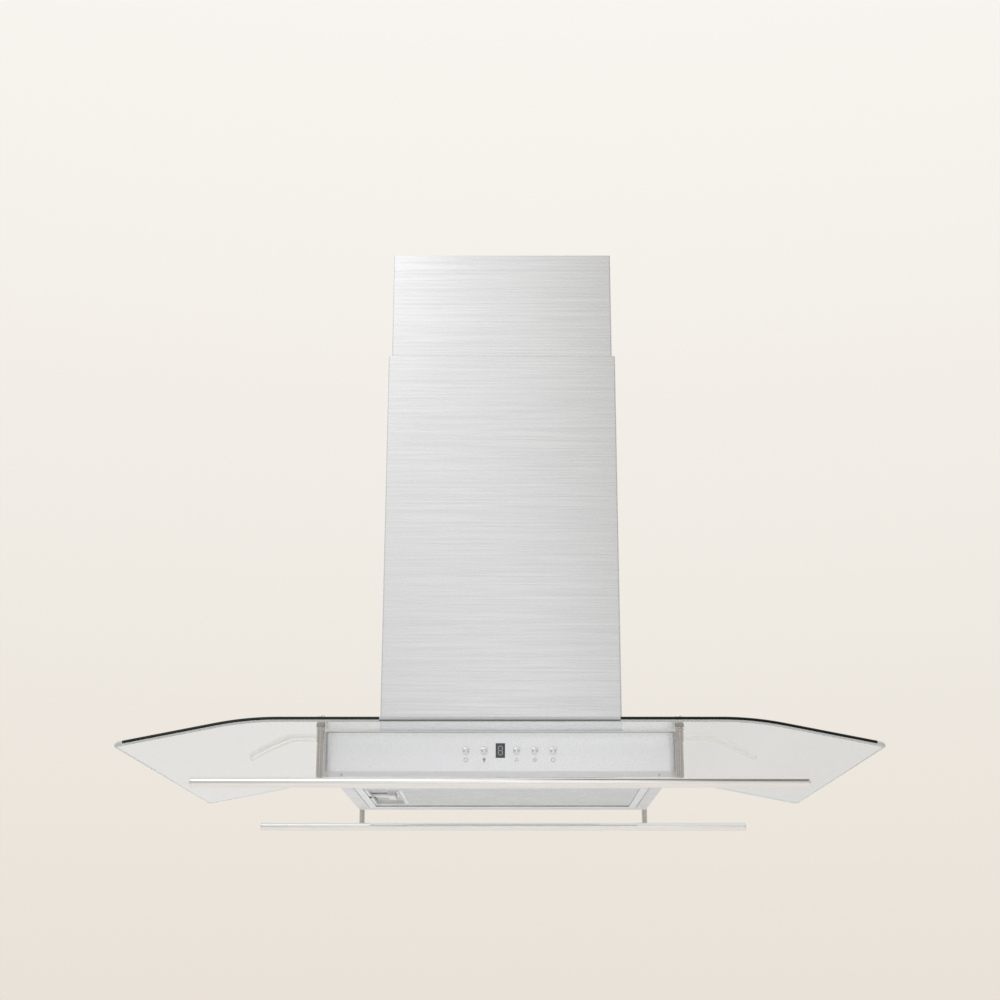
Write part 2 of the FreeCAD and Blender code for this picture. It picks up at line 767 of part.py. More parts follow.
def cover_half(side, half_x, half_y, low, high, hem):
    """Half of a chimney cover: a front or rear face with two side walls up to the seam.

    The rear half carries a lap inside each seam, and a lower cover has a lip at its top.
    """
    outer = box(span("0", half_x), side_pair(side, "seam_gap / 2", half_y), (low, high))
    top = f"{high} - cover_sheet" if hem else f"{high} + 1"
    inner = box(span("0", f"{half_x} - cover_sheet"), side_pair(side, "-1", f"{half_y} - cover_sheet"),
                (f"{low} - 1", top))
    if not hem:
        return minus(outer, inner)
    mouth = box(span("0", f"{half_x} - cover_nest + hem_gap"),
                side_pair(side, "-1", f"{half_y} - cover_nest + hem_gap"),
                (f"{low} - 1", f"{high} + 1"))
    return minus(outer, inner, mouth)


def seam_laps(half_x, low, high):
    """The strips inside both side seams, which belong to the rear half."""
    strips = []
    for side in (-1, 1):
        wall = f"{half_x} - cover_sheet"
        strips.append(box(side_pair(side, f"{wall} - cover_sheet", wall),
                          ("seam_gap / 2", "seam_lap"), (low, high)))
        strips.append(box(side_pair(side, f"{wall} - cover_sheet", f"{wall} - seam_gap / 2"),
                          ("-seam_lap", "seam_gap / 2"), (low, high)))
    return strips


def screw_holes():
    """Holes for the cover screws through both side walls of the upper cover."""
    return [rod("cover_screw_radius + bolt_gap", "-upper_cover_x - 1", f"{side} * cover_screw_y",
                "-cover_screw_drop", "2 * upper_cover_x + 2", "X") for side in (-1, 1)]


def make_upper_cover():
    for side, label in ((-1, "upper_cover_front"), (1, "upper_cover_rear")):
        half = cover_half(side, "upper_cover_x", "upper_cover_y", "upper_cover_low",
                          "upper_cover_high", hem=False)
        if side > 0:
            laps = seam_laps("upper_cover_x", "upper_cover_low", "-plate_flange - 2")
            half = union([half] + laps)
        subpart(label, minus(half, *screw_holes()))


def make_cover_screws():
    """Pan head screws through the upper cover into the ceiling plate's flange."""
    pieces = []
    for side_x, side_y in CORNERS:
        y = f"{side_y} * cover_screw_y"
        shank = side_pair(side_x, "plate_x - plate_thick - 2", "upper_cover_x")
        head = side_pair(side_x, "upper_cover_x", "upper_cover_x + cover_screw_head_thick")
        pieces.append(union([
            rod("cover_screw_radius", shank[0], y, "-cover_screw_drop", f"{shank[1]} - ({shank[0]})", "X"),
            rod("cover_screw_head", head[0], y, "-cover_screw_drop", "cover_screw_head_thick", "X"),
        ]))
    group("cover_screws", pieces)


def make_cover_glides():
    """Plastic pads on the upper cover that keep the lower one centred."""
    pads = []
    low = "upper_cover_low + glide_rise"
    z = (low, f"{low} + glide_height")
    reach_x = "lower_cover_x - cover_sheet - glide_gap"
    reach_y = "lower_cover_y - cover_sheet - glide_gap"
    for side in (-1, 1):
        for centre in ("-glide_centre", "glide_centre"):
            along = span(centre, "glide_width / 2")
            pads.append(box(side_pair(side, "upper_cover_x", reach_x), along, z))
            pads.append(box(along, side_pair(side, "upper_cover_y", reach_y), z))
    group("cover_glides", pads)


def rivet_places():
    """Height formulas of the rivets in each lower seam."""
    return [f"lower_cover_low + rivet_first + {i} * rivet_pitch" for i in range(4)]


def rivet_holes():
    holes = []
    for z in rivet_places():
        holes.append(rod("rivet_radius + thread_gap", "-lower_cover_x - 1", "-seam_lap / 2", z,
                         "2 * lower_cover_x + 2", "X"))
    return holes


def make_lower_cover():
    for side, label in ((-1, "lower_cover_front"), (1, "lower_cover_rear")):
        half = cover_half(side, "lower_cover_x", "lower_cover_y", "lower_cover_low",
                          "lower_cover_high", hem=True)
        if side > 0:
            laps = seam_laps("lower_cover_x", "lower_cover_low", "lower_cover_high - cover_sheet - 1")
            half = union([half] + laps)
        subpart(label, minus(half, *rivet_holes()))


def make_lower_cover_rivets():
    """Blind rivets through the front half's side walls and the laps."""
    pieces = []
    for side in (-1, 1):
        shank = side_pair(side, "lower_cover_x - 3 * cover_sheet", "lower_cover_x")
        head = side_pair(side, "lower_cover_x", "lower_cover_x + rivet_head_thick")
        for z in rivet_places():
            pieces.append(union([
                rod("rivet_radius", shank[0], "-seam_lap / 2", z, "3 * cover_sheet", "X"),
                rod("rivet_head", head[0], "-seam_lap / 2", z, "rivet_head_thick", "X"),
            ]))
    group("lower_cover_rivets", pieces)


# ---------------------------------------------------------------- glass and its clamp

def wing_outline(body):
    """Half of the canopy's section: flat middle, bend, and straight drooping wing."""
    sketch = sketch_on(body, "XZ_Plane")
    sketch.setExpression(".AttachmentOffset.Base.y", formula("glass_low"))
    flat = number("glass_flat") / 2
    radius = number("bend_radius")
    thick = number("glass_thick")
    angle = math.radians(number("wing_angle"))
    along = Vector(math.cos(angle), -math.sin(angle), 0)
    outward = Vector(math.sin(angle), math.cos(angle), 0)
    centre = Vector(flat, -radius, 0)
    bend_low = centre + outward * radius
    bend_high = centre + outward * (radius + thick)
    tip_high = bend_high + along * ((number("glass_width") / 2 - bend_high.x) / along.x)
    tip_low = tip_high - outward * thick
    arc_ends = (math.pi / 2 - angle, math.pi / 2)
    edges = [
        Part.LineSegment(Vector(), Vector(flat, 0, 0)),
        Part.ArcOfCircle(Part.Circle(centre, Z_AXIS, radius), *arc_ends),
        Part.LineSegment(bend_low, tip_low),
        Part.LineSegment(tip_low, tip_high),
        Part.LineSegment(tip_high, bend_high),
        Part.ArcOfCircle(Part.Circle(centre, Z_AXIS, radius + thick), *arc_ends),
        Part.LineSegment(Vector(flat, thick, 0), Vector(0, thick, 0)),
        Part.LineSegment(Vector(0, thick, 0), Vector()),
    ]
    for edge in edges:
        sketch.addGeometry(edge, False)
    relations = [
        ("Coincident", 0, 1, -1, 1), ("Horizontal", 0), ("Tangent", 0, 2, 1, 2),
        ("Tangent", 1, 1, 2, 1), ("Coincident", 2, 2, 3, 1), ("Perpendicular", 2, 3),
        ("Coincident", 3, 2, 4, 1), ("Tangent", 4, 2, 5, 1), ("Coincident", 5, 3, 1, 3),
        ("Tangent", 5, 2, 6, 1), ("Horizontal", 6), ("Coincident", 6, 2, 7, 1),
        ("Coincident", 7, 2, 0, 1), ("Vertical", 7),
    ]
    for relation in relations:
        sketch.addConstraint(Sketcher.Constraint(*relation))
    dimension(sketch, "DistanceX", (0, 1, 0, 2), flat, "glass_flat / 2")
    dimension(sketch, "Radius", (1,), radius, "bend_radius")
    dimension(sketch, "DistanceY", (7, 2, 7, 1), thick, "glass_thick")
    dimension(sketch, "DistanceX", (-1, 1, 3, 2), number("glass_width") / 2, "glass_width / 2")
    dimension(sketch, "Angle", (2, 1, -1, 1), angle, "wing_angle")
    return sketch


def make_glass_canopy():
    """One bent pane with a square opening for the blower and holes for bolts and posts."""
    body = new_body("glass_canopy")
    wing = pad(body, wing_outline(body), "glass_depth", midplane=True)
    middle = next(f for f in body.Origin.OriginFeatures if f.Role == "YZ_Plane")
    other_wing = body.newObject("PartDesign::Mirrored", "other_wing")
    other_wing.Originals = [wing]
    other_wing.MirrorPlane = (middle, [""])
    body.Tip = other_wing
    opening = sketch_on(body, "XY_Plane", "glass_high")
    rectangle(opening, span("0", "glass_hole_x"), span("0", "glass_hole_y"))
    for x, y in clamp_places():
        circle(opening, x, y, "glass_bolt_hole")
    for x, y in mirrored_pairs("post_centre_x", "rail_y"):
        circle(opening, x, y, "glass_bolt_hole")
    pocket(body, opening, "glass_thick")
    tip_x = number("glass_width") / 2 - number("glass_thick")
    fillet_upright_edges(body, "glass_corner", lambda middle_point: abs(middle_point.x) > tip_x)


def make_glass_gaskets():
    """Rubber rings above and below the glass where it is clamped."""
    holes = [(x, y, "clamp_bolt_radius + bolt_gap") for x, y in clamp_places()]
    spans = [("glass_high", "base_ring_low"), ("pan_top", "glass_low")]
    group("glass_gaskets", [frame_ring("base_x", "base_y", "base_hole_x", "base_hole_y", z, holes)
                            for z in spans])


def make_glass_clamp_bolts():
    """The bolts that squeeze base ring, glass and body together, with their nuts."""
    pieces = []
    nut_high = "pan_top - body_sheet"
    shank_low = f"{nut_high} - bolt_head_height - bolt_end"
    for x, y in clamp_places():
        pieces.append(union([
            rod("clamp_bolt_radius", x, y, shank_low, f"base_ring_high - ({shank_low})"),
            hexagon("bolt_head_radius", x, y, "base_ring_high", "bolt_head_height"),
        ]))
        pieces.append(nut("bolt_head_radius", "clamp_bolt_radius + thread_gap", x, y,
                          f"{nut_high} - bolt_head_height", "bolt_head_height"))
    group("glass_clamp_bolts", pieces)


# ---------------------------------------------------------------- body under the glass

def make_body_pan():
    """A shallow tray, open at the top, with openings for the filter and the two lamps."""
    body = new_body("body_pan")
    outline = sketch_on(body, "XY_Plane", "pan_low")
    rectangle(outline, span("0", "body_x"), span("0", "body_y"))
    pad(body, outline, "pan_top - body_sheet - pan_low")
    fillet_upright_edges(body, "body_corner", lambda middle_point: True)
    inside = sketch_on(body, "XY_Plane", "pan_top - body_sheet")
    rectangle(inside, span("0", "body_x - body_sheet"), span("0", "body_y - body_sheet"))
    pocket(body, inside, "pan_top - pan_low - 2 * body_sheet")
    openings = sketch_on(body, "XY_Plane", "pan_low + body_sheet")
    rectangle(openings, span("0", "filter_x + filter_side_gap"),
              ("filter_front - filter_gap", "filter_rear + filter_gap"))
    for side in (-1, 1):
        circle(openings, f"{side} * lamp_x", "lamp_y", "lamp_radius + lamp_hole_gap")
    pocket(body, openings, "body_sheet")


def make_top_plate():
    """The plate that closes the tray under the glass, open where the air goes up."""
    holes = [(x, y, "clamp_bolt_radius + bolt_gap") for x, y in clamp_places()]
    subpart("top_plate", frame_ring("body_x", "body_y", "chamber_x - air_hole_ledge",
                                    "chamber_y - air_hole_ledge",
                                    ("pan_top - body_sheet", "pan_top"), holes))


def make_lamps():
    housings = []
    lenses = []
    bezels = []
    for side in (-1, 1):
        x = f"{side} * lamp_x"
        y = "lamp_y"
        can = rod("lamp_radius", x, y, "pan_low", "lamp_depth")
        hollow = rod("lamp_radius - lamp_wall", x, y, "pan_low - 1", "lamp_depth + 1 - lamp_wall")
        housings.append(minus(can, hollow))
        lenses.append(rod("lens_radius", x, y, "pan_low - bezel_thick + lens_recess", "lens_thick"))
        bezels.append(minus(
            rod("bezel_radius", x, y, "pan_low - bezel_thick", "bezel_thick"),
            rod("lens_radius + lens_gap", x, y, "pan_low - bezel_thick - 1", "bezel_thick + 2"),
        ))
    group("lamp_housings", housings)
    group("lamp_lenses", lenses)
    group("lamp_bezels", bezels)
    driver_high = "pan_top - body_sheet"
    driver_rear = "-chamber_y - driver_gap"
    subpart("lamp_driver", box(span("0", "driver_width / 2"),
                               (f"{driver_rear} - driver_depth", driver_rear),
                               (f"{driver_high} - driver_height", driver_high)))


# ---------------------------------------------------------------- grease filter

def make_filter_frame():
    """A folded channel round the mesh, with the two pins that it swings on."""
    z = ("filter_low", "filter_high")
    y = ("filter_front", "filter_rear")
    block = box(span("0", "filter_x"), y, z)
    window = box(span("0", "filter_x - filter_rim"),
                 ("filter_front + filter_rim", "filter_rear - filter_rim"),
                 ("filter_low - 1", "filter_high + 1"))
    channel = box(span("0", "filter_x - filter_sheet"),
                  ("filter_front + filter_sheet", "filter_rear - filter_sheet"),
                  ("filter_low + filter_sheet", "filter_high - filter_sheet"))
    slot = box(("-filter_x - 1", "-filter_x + filter_sheet + 1"), *latch_slot())
    pins = [
        rod("hinge_pin_radius", "hinge_x", "filter_front - hinge_pin_length", "hinge_z",
            "hinge_pin_length + filter_sheet", "Y"),
        rod("hinge_pin_radius", "hinge_x", "filter_rear - filter_sheet", "hinge_z",
            "hinge_pin_length + filter_sheet", "Y"),
    ]
    subpart("filter_frame", union([minus(block, window, channel, slot)] + pins))


def latch_slot():
    """Y and Z spans of the openings that the latch bolt slides through."""
    return (span("filter_centre_y", "latch_width / 2 + latch_gap"),
            ("latch_z - latch_gap", "latch_z + latch_thick + latch_gap"))


def make_filter_mesh():
    """The expanded aluminium pack as one holed sheet, cut out round the latch pocket."""
    gap = number("mesh_gap")
    inset = number("filter_sheet") + gap
    x = number("filter_x") - inset
    front = number("filter_front") + inset
    rear = number("filter_rear") - inset
    low = number("filter_low") + inset
    thick = number("filter_thick") - 2 * inset
    pocket_x = (number("pocket_left") - gap, number("pocket_right") + gap)
    pocket_y = (number("pocket_front") - gap, number("pocket_rear") + gap)
    pitch = number("mesh_pitch")
    bar = number("mesh_bar")
    side = pitch - bar
    half_slot = number("latch_width") / 2 + number("latch_gap")
    slot_y = (number("filter_centre_y") - half_slot, number("filter_centre_y") + half_slot)
    slot_x = (-x - 1, pocket_x[0] + 1)

    def outline(x0, x1, y0, y1):
        corners = [Vector(x0, y0, low), Vector(x1, y0, low), Vector(x1, y1, low), Vector(x0, y1, low)]
        return Part.makePolygon(corners + corners[:1])

    def clear(x0, y0, spans_x, spans_y):
        beside = x0 + side < spans_x[0] - bar or x0 > spans_x[1] + bar
        return beside or y0 + side < spans_y[0] - bar or y0 > spans_y[1] + bar

    rim = number("filter_rim")
    columns = int((2 * (x - rim)) // pitch)
    rows = int((rear - front - 2 * rim) // pitch)
    first_x = -columns * pitch / 2 + bar / 2
    first_y = (front + rear) / 2 - rows * pitch / 2 + bar / 2
    holes = []
    for column in range(columns):
        for row in range(rows):
            x0 = first_x + column * pitch
            y0 = first_y + row * pitch
            if clear(x0, y0, pocket_x, pocket_y) and clear(x0, y0, slot_x, slot_y):
                holes.append(outline(x0, x0 + side, y0, y0 + side))
    sheet_face = Part.makeFace([outline(-x, x, front, rear)] + holes, "Part::FaceMakerBullseye")
    solid = sheet_face.extrude(Vector(0, 0, thick))
    pocket_block = Part.makeBox(pocket_x[1] - pocket_x[0], pocket_y[1] - pocket_y[0], thick + 2,
                                Vector(pocket_x[0], pocket_y[0], low - 1))
    slot_block = Part.makeBox(slot_x[1] - slot_x[0], slot_y[1] - slot_y[0], thick + 2,
                              Vector(slot_x[0], slot_y[0], low - 1))
    shaped("filter_mesh", solid.cut(pocket_block).cut(slot_block))


def make_latch_pocket():
    """The finger pocket in the filter, open downwards."""
    x = ("pocket_left", "pocket_right")
    y = ("pocket_front", "pocket_rear")
    block = box(x, y, ("filter_low", "pocket_high"))
    hollow = box(("pocket_left + pocket_wall", "pocket_right - pocket_wall"),
                 ("pocket_front + pocket_wall", "pocket_rear - pocket_wall"),
                 ("filter_low - 1", "pocket_high - pocket_wall"))
    slot = box(("pocket_left - 1", "pocket_left + pocket_wall + 1"), *latch_slot())
    subpart("latch_pocket", minus(block, hollow, slot))


def make_latch_slider():
    """The bolt that holds the filter shut, with the grip that a finger pulls."""
    bolt = box(("-filter_x - latch_reach", "grip_right"),
               span("filter_centre_y", "latch_width / 2"), ("latch_z", "latch_z + latch_thick"))
    grip_low = "filter_low + latch_grip_rise"
    grip = box(("grip_right - latch_grip_width", "grip_right"),
               span("filter_centre_y", "latch_grip_depth / 2"),
               (grip_low, f"{grip_low} + latch_grip_height"))
    subpart("latch_slider", union([bolt, grip]))


def make_filter_hinge_clips():
    """Two blocks on the tray's floor with the bores that the filter's pins turn in."""
    clips = []
    starts = ("filter_front - filter_gap - 1 - clip_thick", "filter_rear + filter_gap + 1")
    for start in starts:
        block = box(span("hinge_x", "clip_width / 2"), (start, f"{start} + clip_thick"),
                    ("pan_low + body_sheet", "hinge_z + clip_rise"))
        bore = rod("hinge_pin_radius + hinge_running_gap", "hinge_x", f"{start} - 1", "hinge_z",
                   "clip_thick + 2", "Y")
        clips.append(minus(block, bore))
    group("filter_hinge_clips", clips)


# ---------------------------------------------------------------- control strip

def make_control_box():
    """The housing behind the fascia, with bosses for its screws and the board's posts."""
    body = new_body("control_box")
    outline = sketch_on(body, "XZ_Plane", "-box_front")
    rectangle(outline, span("0", "box_x"), ("box_low", "box_high"))
    pad(body, outline, "-box_front - body_y", towards_plane=True)
    inside = sketch_on(body, "XZ_Plane", "-box_front")
    rectangle(inside, span("0", "box_x - box_sheet"),
              ("box_low + box_sheet", "box_high - box_sheet"))
    pocket(body, inside, "-box_front - body_y - box_sheet")
    bosses = sketch_on(body, "XZ_Plane", "-box_front")
    for side in (-1, 1):
        circle(bosses, f"{side} * screw_x", "screw_z", "boss_radius")
    pad(body, bosses, "boss_length", towards_plane=True)
    bores = sketch_on(body, "XZ_Plane", "-box_front")
    for side in (-1, 1):
        circle(bores, f"{side} * screw_x", "screw_z", "fascia_screw_radius + thread_gap")
    pocket(body, bores, "boss_length - boss_floor")
    posts = sketch_on(body, "XZ_Plane", "body_y + box_sheet")
    for x, z in board_post_places():
        circle(posts, x, z, "guide_leg")
    pad(body, posts, "-board_y - board_thick - body_y - box_sheet")


def board_post_places():
    """The four corners where the board rests on posts and the guide stands on the board."""
    x = "guide_half_width - guide_leg"
    z = "guide_height / 2 - guide_leg"
    return [(f"{i} * ({x})", f"button_z + {j} * ({z})") for i in (-1, 1) for j in (-1, 1)]


def make_fascia_frame():
    """The surround of the control panel, held by two small screws in its lower edge."""
    body = new_body("fascia_frame")
    outline = sketch_on(body, "XZ_Plane", "fascia_front")
    rectangle(outline, span("0", "fascia_x"), ("fascia_low", "fascia_high"))
    rectangle(outline, span("0", "panel_x"), ("panel_low", "panel_high"))
    for side in (-1, 1):
        circle(outline, f"{side} * screw_x", "screw_z", "fascia_screw_radius + 0.2")
    pad(body, outline, "fascia_thick", towards_plane=True)


def make_fascia_screws():
    pieces = []
    for side in (-1, 1):
        x = f"{side} * screw_x"
        pieces.append(union([
            rod("fascia_screw_head", x, "fascia_y - fascia_screw_proud", "screw_z",
                "fascia_screw_proud", "Y"),
            rod("fascia_screw_radius", x, "fascia_y", "screw_z",
                "fascia_thick + boss_length - boss_floor - fascia_screw_end", "Y"),
        ]))
    group("fascia_screws", pieces)


def button_places():
    """Centres of the five buttons: two left of the display and three right of it."""
    steps = [0, 1, "2 * button_first / button_pitch - 1", "2 * button_first / button_pitch"]
    steps.append("2 * button_first / button_pitch + 1")
    return [f"-button_first + ({step}) * button_pitch" for step in steps]


def make_control_panel():
    """The flat strip in the fascia, with holes for the buttons and the display."""
    body = new_body("control_panel")
    outline = sketch_on(body, "XZ_Plane", "-panel_y")
    rectangle(outline, span("0", "panel_x - panel_gap"),
              ("panel_low + panel_gap", "panel_high - panel_gap"))
    for x in button_places():
        circle(outline, x, "button_z", "button_radius + button_gap")
    rectangle(outline, span("0", "display_width / 2"), span("button_z", "display_height / 2"))
    pad(body, outline, "panel_thick", towards_plane=True)


def make_display():
    width = "display_width / 2 - panel_gap"
    height = "display_height / 2 - panel_gap"
    window_front = "panel_y - window_proud"
    subpart("display_window", box(span("0", width), (window_front, f"{window_front} + window_thick"),
                                  span("button_z", height)))
    subpart("display_module", box(span("0", width), (f"{window_front} + window_thick", "board_y"),
                                  span("button_z", height)))


def make_control_board():
    subpart("control_board", box(span("0", "board_width / 2"), ("board_y", "board_y + board_thick"),
                                 span("button_z", "board_height / 2")))
    switches = []
    for x in button_places():
        switches.append(box(span(x, "switch_side / 2"), ("board_y - switch_height", "board_y"),
                            span("button_z", "switch_side / 2")))
    group("button_switches", switches)


def make_button_guide():
    """The moulded plate that guides the buttons' stems, on four legs on the board."""
    guide_back = "guide_y + guide_thick"
    plate = box(span("0", "guide_half_width"), ("guide_y", guide_back),
                span("button_z", "guide_height / 2"))
    cuts = [box(span("0", "display_width / 2 + 1"), ("guide_y - 1", f"{guide_back} + 1"),
                span("button_z", "display_height / 2 + 1"))]
    for x in button_places():
        cuts.append(rod("button_stem_radius + 0.2", x, "guide_y - 1", "button_z", "guide_thick + 2", "Y"))
    legs = [rod("guide_leg", x, guide_back, z, f"board_y - ({guide_back})", "Y")
            for x, z in board_post_places()]
    subpart("button_guide", union([minus(plate, *cuts)] + legs))


def make_button(label, x):
    """A domed cap with a collar behind the panel and a stem to its switch."""
    front = "panel_y - button_proud"
    collar_y = "panel_back + button_gap"
    dome = unnamed("Part::Cone")
    dome.Placement = FreeCAD.Placement(Vector(), FreeCAD.Rotation(X_AXIS, -90))
    bind(dome, Radius1="button_radius - button_dome", Radius2="button_radius", Height="button_dome",
         Placement__Base__x=x, Placement__Base__y=front, Placement__Base__z="button_z")
    cap_front = f"{front} + button_dome"
    cap = rod("button_radius", x, cap_front, "button_z", f"{collar_y} - ({cap_front})", "Y")
    collar = rod("button_radius + button_collar", x, collar_y, "button_z", "button_collar_thick", "Y")
    stem = rod("button_stem_radius", x, collar_y, "button_z", f"stem_tip_y - ({collar_y})", "Y")
    subpart(label, union([dome, cap, collar, stem]))


def make_buttons():
    labels = ("power_button", "light_button", "low_speed_button", "medium_speed_button",
              "high_speed_button")
    for label, x in zip(labels, button_places()):
        make_button(label, x)


# ---------------------------------------------------------------- utensil rails

def make_rails():
    """The front and rear tubes, each drilled for its two posts."""
    length = "rail_length - 2 * rail_cap_thick"
    for side, label in ((-1, "front_rail"), (1, "rear_rail")):
        y = f"{side} * rail_y"
        start = f"-({length}) / 2"
        tube = rod("rail_radius", start, y, "rail_z", length, "X")
        bore = rod("rail_radius - rail_wall", f"{start} - 1", y, "rail_z", f"{length} + 2", "X")
        holes = [rod("post_radius + post_gap", f"{i} * post_centre_x", y, "rail_z", "rail_radius + 1")
                 for i in (-1, 1)]
        subpart(label, minus(tube, bore, *holes))


def make_rail_end_caps():
    caps = []
    for side_x, side_y in CORNERS:
        y = f"{side_y} * rail_y"
        disc = side_pair(side_x, "rail_length / 2 - rail_cap_thick", "rail_length / 2")
        plug = side_pair(side_x, "rail_length / 2 - 4 * rail_cap_thick", "rail_length / 2 - rail_cap_thick")
        caps.append(union([
            rod("rail_radius", disc[0], y, "rail_z", "rail_cap_thick", "X"),
            rod("rail_radius - rail_wall - post_gap", plug[0], y, "rail_z", "3 * rail_cap_thick", "X"),
        ]))
    group("rail_end_caps", caps)


def post_places():
    return mirrored_pairs("post_centre_x", "rail_y")


def make_rail_posts():
    """Rods from the rails to the glass, each with a stud that passes through it."""
    posts = []
    stud_high = "glass_high + washer_thick + cap_nut_height - cap_nut_wall - cap_nut_gap"
    for x, y in post_places():
        posts.append(union([
            rod("post_radius", x, y, "rail_z", "sleeve_high - rail_z"),
            rod("stud_radius", x, y, "sleeve_high", f"{stud_high} - sleeve_high"),
        ]))
    group("rail_posts", posts)


def make_post_sleeves():
    """Sleeves over the posts' upper ends, with a raised collar."""
    sleeves = []
    low = "sleeve_high - sleeve_length"
    for x, y in post_places():
        tube = rod("sleeve_radius", x, y, low, "sleeve_length")
        collar = rod("collar_radius", x, y, "sleeve_high - 2.7 * collar_thick", "collar_thick")
        bore = rod("post_radius + post_gap", x, y, f"{low} - 1", "sleeve_length + 2")
        sleeves.append(minus(union([tube, collar]), bore))
    group("post_sleeves", sleeves)


def make_post_washers():
    """Washers above and below the glass at each post."""
    washers = []
    for x, y in post_places():
        for low in ("sleeve_high", "glass_high"):
            washers.append(minus(
                rod("collar_radius", x, y, low, "washer_thick"),
                rod("stud_radius + post_gap", x, y, f"{low} - 1", "washer_thick + 2"),
            ))
    group("post_washers", washers)


def make_cap_nuts():
    nuts = []
    low = "glass_high + washer_thick"
    for x, y in post_places():
        barrel = rod("cap_nut_radius", x, y, low, "0.7 * cap_nut_height")
        crown = unnamed("Part::Cone")
        bind(crown, Radius1="cap_nut_radius", Radius2="0.6 * cap_nut_radius",
             Height="0.3 * cap_nut_height", Placement__Base__x=x, Placement__Base__y=y,
             Placement__Base__z=f"{low} + 0.7 * cap_nut_height")
        bore = rod("stud_radius + thread_gap", x, y, f"{low} - 1", "cap_nut_height - cap_nut_wall + 1")
        nuts.append(minus(union([barrel, crown]), bore))
    group("cap_nuts", nuts)


# ---------------------------------------------------------------- blower

def make_blower_chamber():
    """The sheet box round the blower, open downwards to the filter."""
    block = box(span("0", "chamber_x"), span("0", "chamber_y"), ("chamber_low", "chamber_high"))
    hollow = box(span("0", "chamber_x - chamber_sheet"), span("0", "chamber_y - chamber_sheet"),
                 ("chamber_low - 1", "chamber_high - chamber_sheet"))
    outlet = box(("outlet_left", "outlet_right"), span("0", "scroll_half_depth"),
                 ("chamber_high - 2 * chamber_sheet", "chamber_high + 1"))
    subpart("blower_chamber", minus(block, hollow, outlet))


def scroll_face(wall):
    """The scroll's outline grown by a wall: three quarter arcs, each one step larger."""
    step = number("scroll_step")
    radius = number("scroll_first_radius") + wall
    left = number("outlet_left") - wall
    top = number("chamber_high") - number("chamber_sheet")
    first = Vector(number("scroll_centre_x") - step / 2, 0, number("scroll_z") - step / 2)
    second = first + Vector(step, 0, 0)
    third = second + Vector(0, 0, step)

    def arc(centre, arc_radius, start):
        points = []
        for turn in (start, start + 45, start + 90):
            angle = math.radians(turn)
            points.append(centre + Vector(math.cos(angle), 0, math.sin(angle)) * arc_radius)
        return Part.Arc(*points).toShape()

    throat = Vector(left, 0, first.z + radius)
    right = third + Vector(radius + 2 * step, 0, 0)
    edges = [
        Part.makeLine(throat, first + Vector(0, 0, radius)),
        arc(first, radius, 90),
        arc(second, radius + step, 180),
        arc(third, radius + 2 * step, 270),
        Part.makeLine(right, Vector(right.x, 0, top)),
        Part.makeLine(Vector(right.x, 0, top), Vector(left, 0, top)),
        Part.makeLine(Vector(left, 0, top), throat),
    ]
    return Part.Face(Part.Wire(edges))


def make_scroll_housings():
    """Two halves of the scroll, split at the impeller's disc, each with a round inlet."""
    inlet_centre = Vector(number("scroll_centre_x"), 0, number("scroll_z"))
    for side, label in ((-1, "scroll_housing_front"), (1, "scroll_housing_rear")):
        depth = Vector(0, side * number("scroll_half_depth"), 0)
        outer_depth = Vector(0, side * number("scroll_outer_y"), 0)
        shell = scroll_face(number("scroll_wall")).extrude(outer_depth)
        shell = shell.cut(scroll_face(0).extrude(depth))
        inlet = Part.makeCylinder(number("inlet_radius"), 2 * number("scroll_outer_y"),
                                  inlet_centre - depth * 0.01, Vector(0, side, 0))
        shaped(label, shell.cut(inlet))


def make_impeller():
    """A squirrel cage: a middle disc, two end rings, curved blades and a hub."""
    centre = Vector(number("scroll_centre_x"), 0, number("scroll_z"))
    radius = number("impeller_radius")
    half = number("impeller_half_length")
    ring = number("impeller_ring")
    disc = number("impeller_disc")
    bore = number("shaft_radius") + number("thread_gap")
    depth = number("blade_depth")

    def drum(drum_radius, start, length, hole):
        origin = centre + Vector(0, start, 0)
        solid = Part.makeCylinder(drum_radius, length, origin, Y_AXIS)
        return solid.cut(Part.makeCylinder(hole, length, origin, Y_AXIS))

    pieces = [
        drum(radius, -disc / 2, disc, bore),
        drum(number("hub_radius"), -number("hub_half_length"), 2 * number("hub_half_length"), bore),
        drum(radius, -half, ring, radius - depth / 2),
        drum(radius, half - ring, ring, radius - depth / 2),
    ]
    blade_radius = 1.2 * depth
    outer = Part.makeCylinder(blade_radius, 2 * half, Vector(0, -half, 0), Y_AXIS)
    inner = Part.makeCylinder(blade_radius - number("blade_thick"), 2 * half, Vector(0, -half, 0), Y_AXIS)
    crescent = outer.cut(inner)
    crescent.translate(Vector(radius - depth / 2, 0, -blade_radius + number("blade_thick")))
    annulus = Part.makeCylinder(radius - 0.1, 2 * half, Vector(0, -half, 0), Y_AXIS)
    annulus = annulus.cut(Part.makeCylinder(radius - depth, 2 * half, Vector(0, -half, 0), Y_AXIS))
    upper = Part.makeBox(2 * depth, 2 * half, 2 * depth, Vector(radius - depth - 2, -half, -depth / 2))
    blade = crescent.common(annulus).common(upper)
    for i in range(int(number("blade_count"))):
        copy = blade.copy()
        copy.rotate(Vector(), Y_AXIS, 360 * i / number("blade_count"))
        copy.translate(centre)
        pieces.append(copy)
    shaped("impeller", pieces[0].multiFuse(pieces[1:]).removeSplitter())


